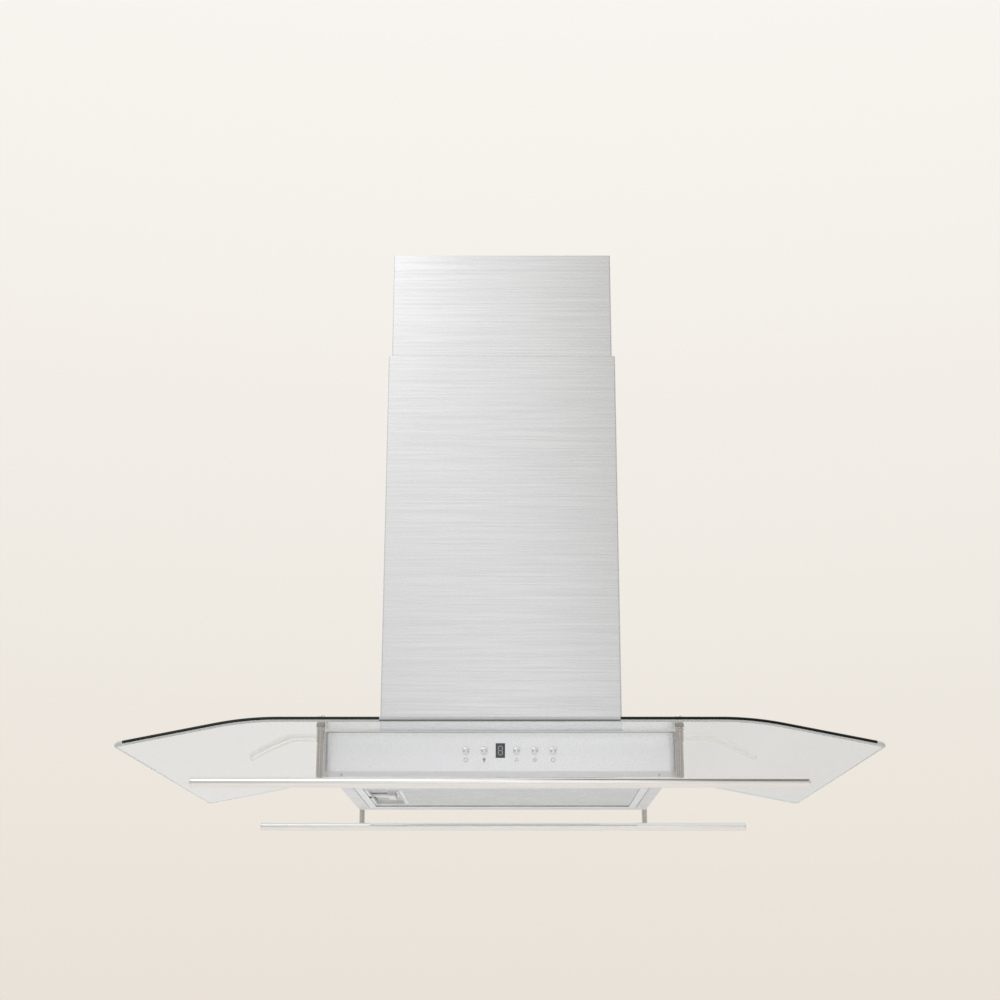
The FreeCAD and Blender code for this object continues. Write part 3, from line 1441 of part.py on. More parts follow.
def make_motor():
    """The motor stands in the rear half of the impeller, on a bracket with three arms."""
    x = "scroll_centre_x"
    z = "scroll_z"
    step = "bracket_thick * 2"
    case = union([
        rod("motor_radius", x, f"motor_start + {step}", z, f"motor_end - motor_start - 2 * {step}", "Y"),
        rod("motor_radius - motor_shoulder", x, "motor_start", z, "motor_end - motor_start", "Y"),
    ])
    bore_length = "motor_end - motor_start - motor_back + 1"
    bore = rod("shaft_radius + shaft_gap", x, "motor_start - 1", z, bore_length, "Y")
    subpart("motor", minus(case, bore))
    start = "-hub_half_length - shaft_end"
    length = f"motor_end - motor_back - shaft_end_gap - ({start})"
    subpart("motor_shaft", rod("shaft_radius", x, start, z, length, "Y"))


def make_motor_bracket():
    """Three arms from the motor's end to legs that stand on rubber grommets."""
    centre = Vector(number("scroll_centre_x"), 0, number("scroll_z"))
    start = number("motor_end")
    thick = number("bracket_thick")
    leg = number("bracket_leg")
    reach = number("bracket_reach")
    foot = number("scroll_outer_y") + number("grommet_thick")
    pieces = [Part.makeCylinder(number("motor_radius") / 2, thick, Vector(0, start, 0), Y_AXIS)]
    grommets = []
    for angle in (-30, -150, -270):
        arm = Part.makeBox(reach, thick, 2 * leg, Vector(0, start, -leg))
        post = Part.makeBox(leg, start + thick - foot, 2 * leg, Vector(reach - leg, foot, -leg))
        grommet = Part.makeCylinder(leg, number("grommet_thick"),
                                    Vector(reach - leg / 2, number("scroll_outer_y"), 0), Y_AXIS)
        for piece in (arm, post, grommet):
            piece.rotate(Vector(), Y_AXIS, angle)
            piece.translate(centre)
        pieces += [arm, post]
        grommets.append(grommet)
    pieces[0].translate(centre)
    shaped("motor_bracket", pieces[0].multiFuse(pieces[1:]).removeSplitter())
    shaped("motor_grommets", Part.Compound(grommets))


def make_duct_collar():
    """The round spigot for the duct, with a ledge that the two flaps lie on."""
    x = "collar_centre_x"
    inner = "spigot_radius - spigot_wall"
    flange = rod("spigot_radius + spigot_flange", x, "0", "chamber_high", "spigot_flange_thick")
    tube = rod("spigot_radius", x, "0", "chamber_high", "spigot_length")
    bore = rod(inner, x, "0", "chamber_high - 1", "spigot_length + 2")
    ledge_low = "flap_z - flap_thick / 2 - flap_ledge_gap - spigot_wall"
    ledge = minus(
        rod("spigot_radius - spigot_wall / 2", x, "0", ledge_low, "spigot_wall"),
        rod(f"{inner} - flap_ledge", x, "0", f"{ledge_low} - 1", "spigot_wall + 2"),
        box(span(x, "flap_axis_offset + flap_barrel_radius + 1"), span("0", f"{inner}"),
            (f"{ledge_low} - 1", f"{ledge_low} + spigot_wall + 1")),
    )
    pin_holes = [rod("flap_pin_radius + flap_running_gap", f"{x} + {side} * flap_axis_offset",
                     "-spigot_radius - 1", "flap_z", "2 * spigot_radius + 2", "Y") for side in (-1, 1)]
    subpart("duct_collar", minus(union([minus(union([flange, tube]), bore), ledge]), *pin_holes))


def make_flaps():
    """Two half discs that lie shut by their own weight and lift with the air."""
    x = "collar_centre_x"
    radius = "spigot_radius - spigot_wall - flap_gap"
    barrel_half = "spigot_radius - spigot_wall - flap_ledge - 1"
    pin_half = "spigot_radius - flap_pin_recess"
    for side, label in ((-1, "flap_left"), (1, "flap_right")):
        axis = f"{x} + {side} * flap_axis_offset"
        disc = rod(radius, x, "0", "flap_z - flap_thick / 2", "flap_thick")
        if side > 0:
            half = (axis, f"{x} + spigot_radius")
        else:
            half = (f"{x} - spigot_radius", axis)
        plate = both(disc, box(half, span("0", "spigot_radius"), ("flap_z - 1", "flap_z + 1")))
        barrel = rod("flap_barrel_radius", axis, f"-({barrel_half})", "flap_z", f"2 * ({barrel_half})", "Y")
        pin = rod("flap_pin_radius", axis, f"-({pin_half})", "flap_z", f"2 * ({pin_half})", "Y")
        subpart(label, union([plate, barrel, pin]))


# ---------------------------------------------------------------- wiring

def make_junction_box():
    """The mains box on the front of the blower chamber, and the gland in its lid."""
    y = ("-chamber_y - junction_depth", "-chamber_y")
    z = ("junction_low", "junction_high")
    block = box(span("0", "junction_width / 2"), y, z)
    hollow = box(span("0", "junction_width / 2 - junction_wall"),
                 ("-chamber_y - junction_depth + junction_wall", "-chamber_y - junction_wall"),
                 ("junction_low + junction_wall", "junction_high - junction_wall"))
    neck_radius = "gland_bore + gland_neck_wall"
    hole = rod(f"{neck_radius} + gland_neck_gap", "gland_x", "gland_y",
               "junction_high - junction_wall - 1", "junction_wall + 2")
    subpart("junction_box", minus(block, hollow, hole))
    neck_low = "junction_high - junction_wall - gland_neck_end"
    nut_part = rod("gland_radius", "gland_x", "gland_y", "junction_high", "gland_length")
    neck = rod(neck_radius, "gland_x", "gland_y", neck_low, "junction_wall + gland_neck_end")
    bore = rod("gland_bore", "gland_x", "gland_y", f"{neck_low} - 1",
               "gland_length + junction_wall + gland_neck_end + 2")
    subpart("cable_gland", minus(union([nut_part, neck]), bore))


# ---------------------------------------------------------------- the whole hood

make_ceiling_plate()
make_upper_frame()
make_frame_bolts()
make_upper_cover()
make_cover_screws()
make_cover_glides()
make_lower_frame()
make_height_bolts()
make_lower_cover()
make_lower_cover_rivets()
make_glass_canopy()
make_glass_gaskets()
make_glass_clamp_bolts()
make_body_pan()
make_top_plate()
make_lamps()
make_filter_frame()
make_filter_mesh()
make_latch_pocket()
make_latch_slider()
make_filter_hinge_clips()
make_control_box()
make_fascia_frame()
make_fascia_screws()
make_control_panel()
make_display()
make_control_board()
make_button_guide()
make_buttons()
make_rails()
make_rail_end_caps()
make_rail_posts()
make_post_sleeves()
make_post_washers()
make_cap_nuts()
make_blower_chamber()
make_scroll_housings()
make_impeller()
make_motor()
make_motor_bracket()
make_duct_collar()
make_flaps()
make_junction_box()

doc.recompute()

faults = [thing.Label for thing in doc.Objects if {"Invalid", "Error"} & set(thing.State)]
for thing in subparts:
    if thing.Shape.isNull() or not thing.Shape.isValid():
        faults.append(thing.Label)
if faults:
    raise ValueError("these did not come out whole: " + ", ".join(faults))

os.makedirs("parts", exist_ok=True)
for thing in subparts:
    thing.Shape.exportStep(f"parts/{thing.Label}.step")
    print(f"{thing.Label}: {len(thing.Shape.Solids)} solids, {thing.Shape.Volume:.0f} mm3")
print(len(subparts), "sub-parts")
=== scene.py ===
"""Finishes and fine shapes of a curved glass island hood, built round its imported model."""
import json
import math

import bmesh
import bpy
from bpy.props import FloatProperty, FloatVectorProperty, PointerProperty
from mathutils import Matrix, Vector
from mathutils.geometry import tessellate_polygon


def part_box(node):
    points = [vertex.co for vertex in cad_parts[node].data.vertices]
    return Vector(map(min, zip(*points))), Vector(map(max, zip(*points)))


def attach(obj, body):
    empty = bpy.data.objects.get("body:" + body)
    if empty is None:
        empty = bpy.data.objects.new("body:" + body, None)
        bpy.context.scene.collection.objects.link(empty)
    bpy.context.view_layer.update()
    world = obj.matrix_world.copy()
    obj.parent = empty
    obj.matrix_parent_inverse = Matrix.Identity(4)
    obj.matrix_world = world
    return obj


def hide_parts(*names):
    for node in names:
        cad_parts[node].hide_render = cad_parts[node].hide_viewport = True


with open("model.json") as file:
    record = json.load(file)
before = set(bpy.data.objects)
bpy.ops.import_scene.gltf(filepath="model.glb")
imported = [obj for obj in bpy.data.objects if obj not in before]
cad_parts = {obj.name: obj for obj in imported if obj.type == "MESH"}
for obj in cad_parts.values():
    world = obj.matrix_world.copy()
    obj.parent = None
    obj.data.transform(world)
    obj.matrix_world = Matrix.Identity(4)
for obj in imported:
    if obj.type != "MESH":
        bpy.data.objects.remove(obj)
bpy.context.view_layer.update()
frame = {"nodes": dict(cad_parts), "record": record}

bl_info = {
    "name": "Curved Glass Hood",
    "version": (1, 0, 0),
    "blender": (4, 5, 0),
    "location": "View3D > Sidebar > Hood",
    "description": "Finishes and fine shapes of an island cooker hood with a bent glass canopy",
    "category": "Object",
}

MM = 0.001
FLOAT_GLASS_IOR, PLASTIC_IOR = 1.52, 1.5
NOISE = "ShaderNodeTexNoise"
SIDES = ((-1, "-X"), (1, "X"))        # left and right, and the axis that points out of each
BODY_OF = {node: body for body, nodes in frame["record"]["behaviour"]["bodies"].items() for node in nodes}


def linear(hex_colour):
    """A colour written as sRGB hex, turned to the linear values that a shader takes."""
    shades = [int(hex_colour[i:i + 2], 16) / 255 for i in (1, 3, 5)]
    return [s / 12.92 if s <= 0.04045 else ((s + 0.055) / 1.055) ** 2.4 for s in shades] + [1.0]


def length(name, description, millimetres):
    """A size that a user may change, kept in metres and shown in the scene's unit."""
    return FloatProperty(name=name, description=description, default=millimetres * MM,
                         min=0.0, precision=5, unit="LENGTH")


def colour(name, description, hex_colour):
    """A colour that a user may change."""
    return FloatVectorProperty(name=name, description=description, default=linear(hex_colour),
                               size=4, min=0.0, max=1.0, subtype="COLOR")


class HoodSizes(bpy.types.PropertyGroup):
    """Sizes of the shapes that are drawn here."""

    glass_thickness: length("Glass thickness", "Thickness of the canopy's pane", 6)
    glass_flat: length("Flat middle", "Width of the canopy between its two bends", 516)
    bend_radius: length("Bend radius", "Underside radius of the canopy's bends", 380)
    wing_angle: FloatProperty(name="Wing angle", description="How far each wing droops",
                              default=math.radians(11.1), unit="ROTATION")
    glass_corner: length("Glass corner", "Radius of the canopy's four corners", 12)
    # Middle span of the front edge, left out of the painted dark; a painted grey band runs low along it.
    pale_edge: length("Pale edge", "Middle of the glass's front edge, that shows pale", 281)
    opening_gap: length("Opening gap", "Blower chamber to the edge of the glass opening", 6)
    glass_hole: length("Glass hole", "Radius of the holes for bolts and posts", 4)
    sheet: length("Cover sheet", "Thickness of the chimney covers", 0.8)
    sheet_bend: length("Sheet bend", "Outer radius where a cover is folded", 1.8)
    cover_lip: length("Cover lip", "Width of the lower cover's top lip", 3.5)
    seam: length("Seam", "Gap between the two halves of a cover", 0.6)
    seam_lap: length("Seam lap", "Width of the strip behind each seam", 10)
    filter_lip: length("Filter lip", "Folded lip that covers the gap beside the grease filter", 1.6)
    diamond_width: length("Diamond width", "Mesh pitch across the grease filter", 10)
    diamond_height: length("Diamond height", "Mesh pitch along the grease filter", 5)
    strand: length("Strand", "Width of the expanded mesh's strands", 0.9)
    panel_roll: length("Panel roll", "Width of the control panel's rolled ends", 5.2)
    mark_width: length("Mark width", "Line width of the printed button marks", 0.6)
    mark_drop: length("Mark drop", "Printed marks below the buttons' centres", 11.2)
    ink: length("Ink", "Thickness of the printed marks", 0.06)


class HoodColours(bpy.types.PropertyGroup):
    """Colours of the finishes."""

    steel: colour("Steel", "Brushed stainless steel", "#E6E6E6")
    steel_line: colour("Steel line", "Darker brush lines in the steel", "#DCDCDD")
    chrome: colour("Polished steel", "Polished rails, posts and buttons", "#F4F2EF")
    panel: colour("Panel", "Silver lacquer of the control panel", "#F8F8FA")
    glass: colour("Glass", "Body of the canopy's pane", "#EEF3F5")
    # Painted dark of the pane's front edge: painted shade standing in for the dark seen along the glass.
    glass_edge: colour("Glass edge", "What shows along the pane's edge", "#0B0F0E")
    mark: colour("Mark", "Printed button marks", "#9EA0A4")
    display: colour("Display", "Window of the digit display", "#4A4C50")
    digit: colour("Digit", "Unlit segments of the digit", "#A3A6AA")
    aluminium: colour("Aluminium", "Grease filter", "#F2F5F8")
    zinc: colour("Zinc", "Galvanised sheet inside", "#BFC2C4")
    backdrop_high: colour("Backdrop, high", "Background above the hood", "#F8F5F0")
    backdrop_low: colour("Backdrop, low", "Background below the hood", "#E9E2D8")


def sizes():
    return bpy.context.scene.hood_sizes


def colours():
    return bpy.context.scene.hood_colours


# ---------------------------------------------------------------- finishes

def add(material, kind, sockets=None, **settings):
    """Add a node, set it up, and fill or link the sockets that are named or numbered."""
    node = material.node_tree.nodes.new(kind)
    for name, value in settings.items():
        setattr(node, name, value)
    for socket, value in (sockets or {}).items():
        if isinstance(value, bpy.types.NodeSocket):
            material.node_tree.links.new(value, node.inputs[socket])
        else:
            node.inputs[socket].default_value = value
    return node


def blank(name):
    """A material with nothing in it yet."""
    material = bpy.data.materials.new(name)
    material.use_nodes = True
    material.node_tree.nodes.clear()
    return material


def surface(material, sockets):
    """Close a material with its one shader."""
    shader = add(material, "ShaderNodeBsdfPrincipled", sockets)
    add(material, "ShaderNodeOutputMaterial", {"Surface": shader.outputs[0]})
    return material


def pattern(material, kind, size, **sockets):
    """A texture whose cells measure size, in millimetres, along X, Y and Z."""
    place = add(material, "ShaderNodeTexCoord").outputs["Object"]
    scale = tuple(1 / (side * MM) for side in size)
    stretched = add(material, "ShaderNodeMapping", {"Vector": place, "Scale": scale})
    inputs = {"Vector": stretched.outputs[0], "Scale": 1.0}
    inputs.update({name.replace("_", " "): value for name, value in sockets.items()})
    return add(material, kind, inputs)


def ranged(material, value, low, high, from_low=0.3, from_high=0.7):
    """A pattern's value spread between two numbers."""
    spread = add(material, "ShaderNodeMapRange", {
        "Value": value, "From Min": from_low, "From Max": from_high, "To Min": low, "To Max": high})
    return spread.outputs[0]


def mixed(material, factor, first, second):
    """Two colours mixed by a pattern."""
    ends = [end if isinstance(end, bpy.types.NodeSocket) else tuple(end) for end in (first, second)]
    blend = add(material, "ShaderNodeMix", {0: factor, 6: ends[0], 7: ends[1]}, data_type="RGBA")
    return blend.outputs[2]


def bumped(material, height, distance):
    """A normal that rises and falls by a distance in millimetres."""
    sockets = {"Height": height, "Distance": distance * MM, "Strength": 1.0}
    return add(material, "ShaderNodeBump", sockets).outputs[0]


def shaded(tone, factor):
    """A colour made darker by a factor."""
    return [shade * factor for shade in tone[:3]] + [1.0]


def mottled(name, cells, tones, roughness, detail=3.0, bump=0.0, **sockets):
    """A finish whose gloss, and colour where it has two tones, drift over cells in millimetres."""
    material = blank(name)
    cloud = pattern(material, NOISE, cells, Detail=detail).outputs[0]
    inputs = {"Base Color": tones[0], "Roughness": ranged(material, cloud, *roughness)}
    if len(tones) > 1:
        inputs["Base Color"] = mixed(material, ranged(material, cloud, 0, 1), *tones)
    if bump:
        inputs["Normal"] = bumped(material, cloud, bump)
    inputs.update({socket.replace("_", " "): value for socket, value in sockets.items()})
    return surface(material, inputs)


def brushed_stainless():
    """304 stainless sheet, belt brushed along its width: long fine level lines, and
    highlights that run up and down across them."""
    material = blank("brushed_stainless")
    # Real brush lines are about 0.15 mm apart. They are drawn 0.8 mm and 2.4 mm apart to show.
    fine = pattern(material, NOISE, (70, 70, 0.8), Detail=3.0, Roughness=0.6)
    broad = pattern(material, NOISE, (180, 180, 2.4), Detail=2.0)
    both = add(material, "ShaderNodeMath", {0: fine.outputs[0], 1: broad.outputs[0]}).outputs[0]
    lines = ranged(material, both, 0.0, 1.0, 0.75, 1.25)
    along = add(material, "ShaderNodeTangent", direction_type="RADIAL", axis="Z")
    return surface(material, {
        "Base Color": mixed(material, lines, colours().steel_line, colours().steel),
        "Metallic": 1.0, "Roughness": ranged(material, both, 0.29, 0.25, 0.75, 1.25),
        "Anisotropic": 0.7, "Anisotropic Rotation": 0.25, "Tangent": along.outputs[0],
        "Normal": bumped(material, lines, 0.003)})


def satin_stainless():
    """430 stainless pressings with a satin finish: even, soft reflections with a faint grain."""
    material = blank("satin_stainless")
    grain = pattern(material, NOISE, (30, 30, 0.8), Detail=3.0).outputs[0]
    cloud = pattern(material, NOISE, (90, 90, 60), Detail=2.0).outputs[0]
    return surface(material, {
        "Base Color": mixed(material, ranged(material, grain, 0, 1), colours().steel_line, colours().steel),
        "Metallic": 1.0, "Roughness": ranged(material, cloud, 0.30, 0.33),
        "Normal": bumped(material, grain, 0.004)})


def polished_stainless():
    """304 tube and turned parts, polished: clear reflections with faint rubbing marks."""
    material = blank("polished_stainless")
    rub = pattern(material, NOISE, (40, 2, 2), Detail=4.0).outputs[0]
    return surface(material, {
        "Base Color": mixed(material, ranged(material, rub, 0, 0.35), colours().chrome, colours().steel_line),
        "Metallic": 1.0, "Roughness": ranged(material, rub, 0.06, 0.14)})


def turned_stainless_painted_shade():
    """304 bar as it leaves the lathe: softer than the polished tube, with a greyer, browner tone that is
    painted shade.
    """
    return mottled("turned_stainless_painted_shade", (8, 8, 0.5), (linear("#BFBAB2"), linear("#D2CEC7")),
                   (0.16, 0.26), Metallic=1.0)


def silver_lacquer():
    """Metallic silver lacquer on a pressed panel: fine flake under a satin clear coat."""
    # Real flake is about 0.03 mm; it is drawn at 0.5 mm so that it shows.
    tone = colours().panel
    return mottled("silver_lacquer", (0.5, 0.5, 0.5), (shaded(tone, 0.93), tone), (0.30, 0.26),
                   detail=1.0, Metallic=0.75, Coat_Weight=0.25, Coat_Roughness=0.25)


def tempered_glass():
    """Tempered float glass, fire polished faces: clear with a breath of grey green."""
    material = blank("tempered_glass")
    tint = tuple(colours().glass)
    smear = pattern(material, NOISE, (80, 50, 80), Detail=3.0).outputs[0]
    pane = add(material, "ShaderNodeBsdfPrincipled", {
        "Base Color": tint, "Transmission Weight": 1.0, "IOR": FLOAT_GLASS_IOR,
        "Roughness": ranged(material, smear, 0.0, 0.012)})
    through = add(material, "ShaderNodeBsdfTransparent", {"Color": tint})
    lamp_ray = add(material, "ShaderNodeLightPath").outputs["Is Shadow Ray"]
    lit = add(material, "ShaderNodeMixShader", {0: lamp_ray, 1: pane.outputs[0], 2: through.outputs[0]})
    add(material, "ShaderNodeOutputMaterial", {"Surface": lit.outputs[0]})
    return material


def glass_edge_painted_dark():
    """The polished edge painted almost black and glossy: painted shade standing in for the dark seen along
    the pane's length.
    """
    return mottled("glass_edge_painted_dark", (2, 2, 0.5), [tuple(colours().glass_edge)], (0.05, 0.12),
                   detail=2.0, IOR=FLOAT_GLASS_IOR, Specular_IOR_Level=0.25)


def ground_edge(name, tint, clear):
    """A ground edge, only half polished: slightly milky, with the grinding's fine mottle."""
    return mottled(name, (1, 1, 0.4), [linear(tint)], (0.25, 0.45),
                   Transmission_Weight=clear, IOR=FLOAT_GLASS_IOR)


def pale_glass_edge():
    """The rear and side edges: a whitish line."""
    return ground_edge("pale_glass_edge", "#DEE2E0", 0.25)


def glass_edge_painted_grey():
    """The lower arris in front of the chimney, where the pane's depth shows: a grey line of painted shade."""
    return ground_edge("glass_edge_painted_grey", "#5C605E", 0.1)


def frosted_lens():
    """Acid-etched glass over the lamps: milky white, with a soft sheen."""
    return mottled("frosted_lens", (0.6, 0.6, 0.6), [linear("#EFF0EF")], (0.30, 0.45),
                   detail=2.0, bump=0.01, Transmission_Weight=0.35, IOR=PLASTIC_IOR)


def mill_aluminium():
    """Expanded and folded aluminium as it leaves the press: bright, with a dull haze."""
    tone = colours().aluminium
    return mottled("mill_aluminium", (14, 3, 14), (shaded(tone, 0.82), tone), (0.28, 0.42),
                   detail=4.0, Metallic=1.0)


def galvanised_sheet():
    """Hot-dip galvanised sheet: grey spangle about 9 mm across."""
    material = blank("galvanised_sheet")
    spangle = pattern(material, "ShaderNodeTexVoronoi", (9, 9, 9)).outputs["Color"]
    cell = add(material, "ShaderNodeSeparateColor", {0: spangle}).outputs
    return surface(material, {
        "Base Color": mixed(material, cell[0], shaded(colours().zinc, 0.75), colours().zinc),
        "Metallic": 0.9, "Roughness": ranged(material, cell[1], 0.32, 0.55, 0, 1)})


def zinc_plate():
    """Bright zinc plated fasteners: bluish, with turning marks round them."""
    return mottled("zinc_plate", (1.5, 1.5, 1.5), (linear("#B9BEC4"), linear("#D3D7DB")),
                   (0.22, 0.36), Metallic=1.0)


def moulded(name, dark, pale, low, high, grain):
    """A moulded plastic or rubber: an even colour over a tool grain in millimetres."""
    return mottled(name, (grain, grain, grain), (linear(dark), linear(pale)), (low, high),
                   bump=0.02, IOR=PLASTIC_IOR)


def black_abs():
    """Black ABS with a spark-eroded tool grain of about 0.4 mm."""
    return moulded("black_abs", "#141415", "#1D1D1F", 0.42, 0.6, 0.4)


def grey_nylon():
    """Natural grey nylon: waxy and pale."""
    return moulded("grey_nylon", "#A6A7A4", "#B4B5B2", 0.4, 0.55, 0.6)


def epdm_rubber():
    """EPDM sealing rubber: deep grey, almost without gloss."""
    return moulded("epdm_rubber", "#1B1B1B", "#262626", 0.7, 0.88, 0.8)


def clear_washer():
    """Soft PVC washers beside the glass: smoky and slightly glossy."""
    return moulded("pvc_washer", "#9A968E", "#A8A49C", 0.35, 0.5, 0.8)


def enamelled_motor():
    """Motor case, sprayed graphite enamel with a light orange peel."""
    return moulded("motor_enamel", "#2B2D30", "#34373A", 0.35, 0.5, 1.5)


def phenolic_switch():
    """Little switch cases in dark phenolic."""
    return moulded("phenolic_switch", "#1A1715", "#2A2623", 0.4, 0.55, 0.5)


def smoked_acrylic():
    """The display's window: smoked acrylic, polished, with the dark module behind it."""
    tone = colours().display
    return mottled("smoked_acrylic", (6, 6, 6), (shaded(tone, 0.8), tone), (0.08, 0.14),
                   detail=1.0, IOR=1.49)


def solder_masked_board():
    """Glass epoxy board under green solder mask: copper tracks show as paler bands."""
    material = blank("solder_mask")
    tracks = pattern(material, "ShaderNodeTexBrick", (14, 14, 5), Mortar_Size=0.08,
                     Color1=linear("#1E4A32"), Color2=linear("#234F37"), Mortar=linear("#3E7353"))
    return surface(material, {
        "Base Color": tracks.outputs[0], "IOR": PLASTIC_IOR,
        "Roughness": ranged(material, tracks.outputs[1], 0.3, 0.4, 0, 1)})


def screen_ink(name, tint):
    """Screen printed ink: matt, with the faint mottle of the mesh it was pressed through."""
    thin = [shade + (1 - shade) * 0.12 for shade in tint[:3]] + [1.0]
    return mottled(name, (0.4, 0.4, 0.4), (thin, tint), (0.5, 0.7), detail=1.0, IOR=PLASTIC_IOR)


def mark_ink():
    """Grey ink of the button marks."""
    return screen_ink("mark_ink", colours().mark)


def digit_film():
    """Pale diffusing film of the digit's unlit segments."""
    return screen_ink("digit_film", colours().digit)


FINISH_OF_SLOT = {
    "covers_steel": brushed_stainless, "body_steel": satin_stainless,
    "polished_steel": polished_stainless, "panel": silver_lacquer,
    "canopy_glass": tempered_glass, "lamp_glass": frosted_lens,
    "filter_aluminium": mill_aluminium, "lamp_cans": mill_aluminium,
    "galvanised": galvanised_sheet, "collar_steel": galvanised_sheet,
    "fasteners": zinc_plate, "rubber": epdm_rubber, "washers": clear_washer,
    "black_plastic": black_abs, "grey_plastic": grey_nylon, "display": smoked_acrylic,
    "circuit_board": solder_masked_board, "switches": phenolic_switch,
    "motor_paint": enamelled_motor,
}
finished = {}


def finish(maker):
    """Each finish is made once and shared."""
    if maker not in finished:
        finished[maker] = maker()
    return finished[maker]


# ---------------------------------------------------------------- shapes

def piece(name, shape, slot, *nodes, body=None, finishes=None, crease=32):
    """Make a drawn shape a piece of the hood. It stands for its nodes and rides on their body."""
    bmesh.ops.recalc_face_normals(shape, faces=shape.faces)
    mesh = bpy.data.meshes.new(name)
    shape.to_mesh(mesh)
    shape.free()
    mesh.shade_smooth()
    mesh.set_sharp_from_angle(angle=math.radians(crease))
    for maker in finishes or [FINISH_OF_SLOT[slot]]:
        mesh.materials.append(finish(maker))
    made = bpy.data.objects.new(name, mesh)
    bpy.context.scene.collection.objects.link(made)
    made.modifiers.new("flat_faces", "WEIGHTED_NORMAL").keep_sharp = True
    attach(made, body or BODY_OF[nodes[0]])
    if nodes:
        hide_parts(*nodes)
    return made


def mm(*points):
    """Points given in millimetres."""
    return [tuple(value * MM for value in point) for point in points]


def soften(node, radius, added=None, finishes=None):
    """Stand a copy with rounded edges, of a radius in mm, in for a pressed CAD piece."""
    source = frame["nodes"][node]
    slot = source.material_slots[0].material.name
    shape = bmesh.new()
    shape.from_mesh(source.data)
    bmesh.ops.remove_doubles(shape, verts=shape.verts, dist=0.002 * MM)
    bmesh.ops.dissolve_limit(shape, angle_limit=math.radians(0.5), verts=shape.verts,
                             edges=shape.edges, delimit={"NORMAL"})
    sharp = [edge for edge in shape.edges
             if len(edge.link_faces) == 2 and edge.calc_face_angle() > math.radians(60)]
    bmesh.ops.bevel(shape, geom=sharp, offset=radius * MM, segments=2, profile=0.6,
                    affect="EDGES", clamp_overlap=True)
    if added:
        added(shape)
    return piece(node + "_rounded", shape, slot, node, finishes=finishes)


def rounded_corners(points, radius, steps=4, closed=False):
    """Points of a line whose corners are rounded off."""
    count = len(points)
    result = []
    for i, corner in enumerate(points):
        if not closed and i in (0, count - 1):
            result.append(Vector(corner))
            continue
        corner = Vector(corner)
        before = Vector(points[i - 1]) - corner
        after = Vector(points[(i + 1) % count]) - corner
        cut = min(radius, 0.45 * before.length, 0.45 * after.length)
        start = corner + before.normalized() * cut
        end = corner + after.normalized() * cut
        for step in range(steps + 1):
            t = step / steps
            result.append(start * (1 - t) ** 2 + corner * 2 * t * (1 - t) + end * t ** 2)
    return result


def turn(shape, profile, place, segments=40):
    """Add a turned form. Its profile gives (radius, height) from one end to the other."""
    rings = []
    for radius, height in profile:
        if radius < 1e-7:
            rings.append([shape.verts.new(place @ Vector((0, 0, height)))])
            continue
        ring = []
        for i in range(segments):
            angle = 2 * math.pi * i / segments
            ring.append(shape.verts.new(
                place @ Vector((radius * math.cos(angle), radius * math.sin(angle), height))))
        rings.append(ring)
    for low, high in zip(rings, rings[1:]):
        for i in range(segments):
            j = (i + 1) % segments
            corners = [low[i % len(low)], low[j % len(low)], high[j % len(high)], high[i % len(high)]]
            unique = list(dict.fromkeys(corners))
            if len(unique) > 2:
                shape.faces.new(unique)


def tubular(shape, profile, place, segments=40):
    """Add a turned form with a bore: its profile is a closed outline of (radius, height)."""
    turn(shape, list(profile) + [profile[0]], place, segments)
    bmesh.ops.remove_doubles(shape, verts=shape.verts, dist=0.0005 * MM)


def placed(x, y, z, along="Z"):
    """A place whose own Z axis points along one of the hood's axes."""
    turns = {
        "Z": Matrix.Identity(4),
        "-Z": Matrix.Rotation(math.pi, 4, "X"),
        "X": Matrix.Rotation(math.pi / 2, 4, "Y"),
        "-X": Matrix.Rotation(-math.pi / 2, 4, "Y"),
        "-Y": Matrix.Rotation(math.pi / 2, 4, "X"),
    }
    return Matrix.Translation((x, y, z)) @ turns[along]


def block(shape, low, high):
    """Add a plain block between two corners."""
    corners = [shape.verts.new((x, y, z)) for x in (low[0], high[0])
               for y in (low[1], high[1]) for z in (low[2], high[2])]
    for a, b, c, d in ((0, 1, 3, 2), (4, 6, 7, 5), (0, 4, 5, 1), (2, 3, 7, 6), (0, 2, 6, 4), (1, 5, 7, 3)):
        shape.faces.new([corners[a], corners[b], corners[c], corners[d]])


def middle(node):
    """The middle of a node's box."""
    low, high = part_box(node)
    return (low + high) / 2


def strip(shape, near, far, closed=True):
    """Join two rows of corners with faces, and give the faces."""
    count = len(near)
    return [shape.faces.new((near[i], near[(i + 1) % count], far[(i + 1) % count], far[i]))
            for i in range(count if closed else count - 1)]


def band(shape, outer, inner, place, thick):
    """Add a flat band between two outlines that have as many points as each other."""
    loops = []
    for outline, height in ((outer, 0), (outer, thick), (inner, thick), (inner, 0)):
        loops.append([shape.verts.new(place @ Vector((x, y, height))) for x, y in outline])
    for near, far in zip(loops, loops[1:] + loops[:1]):
        strip(shape, near, far)


def plate(shape, outline, place, thick):
    """Add a flat plate with the given outline."""
    low = [shape.verts.new(place @ Vector((x, y, 0))) for x, y in outline]
    high = [shape.verts.new(place @ Vector((x, y, thick))) for x, y in outline]
    shape.faces.new(low)
    shape.faces.new(high)
    strip(shape, low, high)


def ring_of(radius, points, wave=0.0, petals=6):
    """Points evenly round a circle, which may be scalloped."""
    outline = []
    for i in range(points):
        angle = 2 * math.pi * i / points
        reach = radius + wave * math.cos(petals * angle)
        outline.append((reach * math.cos(angle), reach * math.sin(angle)))
    return outline


def pierced(loops):
    """Triangles that fill the first outline and leave the others open, and each loop's edges."""
    edges, start = [], 0
    for loop in loops:
        edges.append([(start + i, start + (i + 1) % len(loop)) for i in range(len(loop))])
        start += len(loop)
    return tessellate_polygon([[Vector((x, y, 0)) for x, y in loop] for loop in loops]), edges


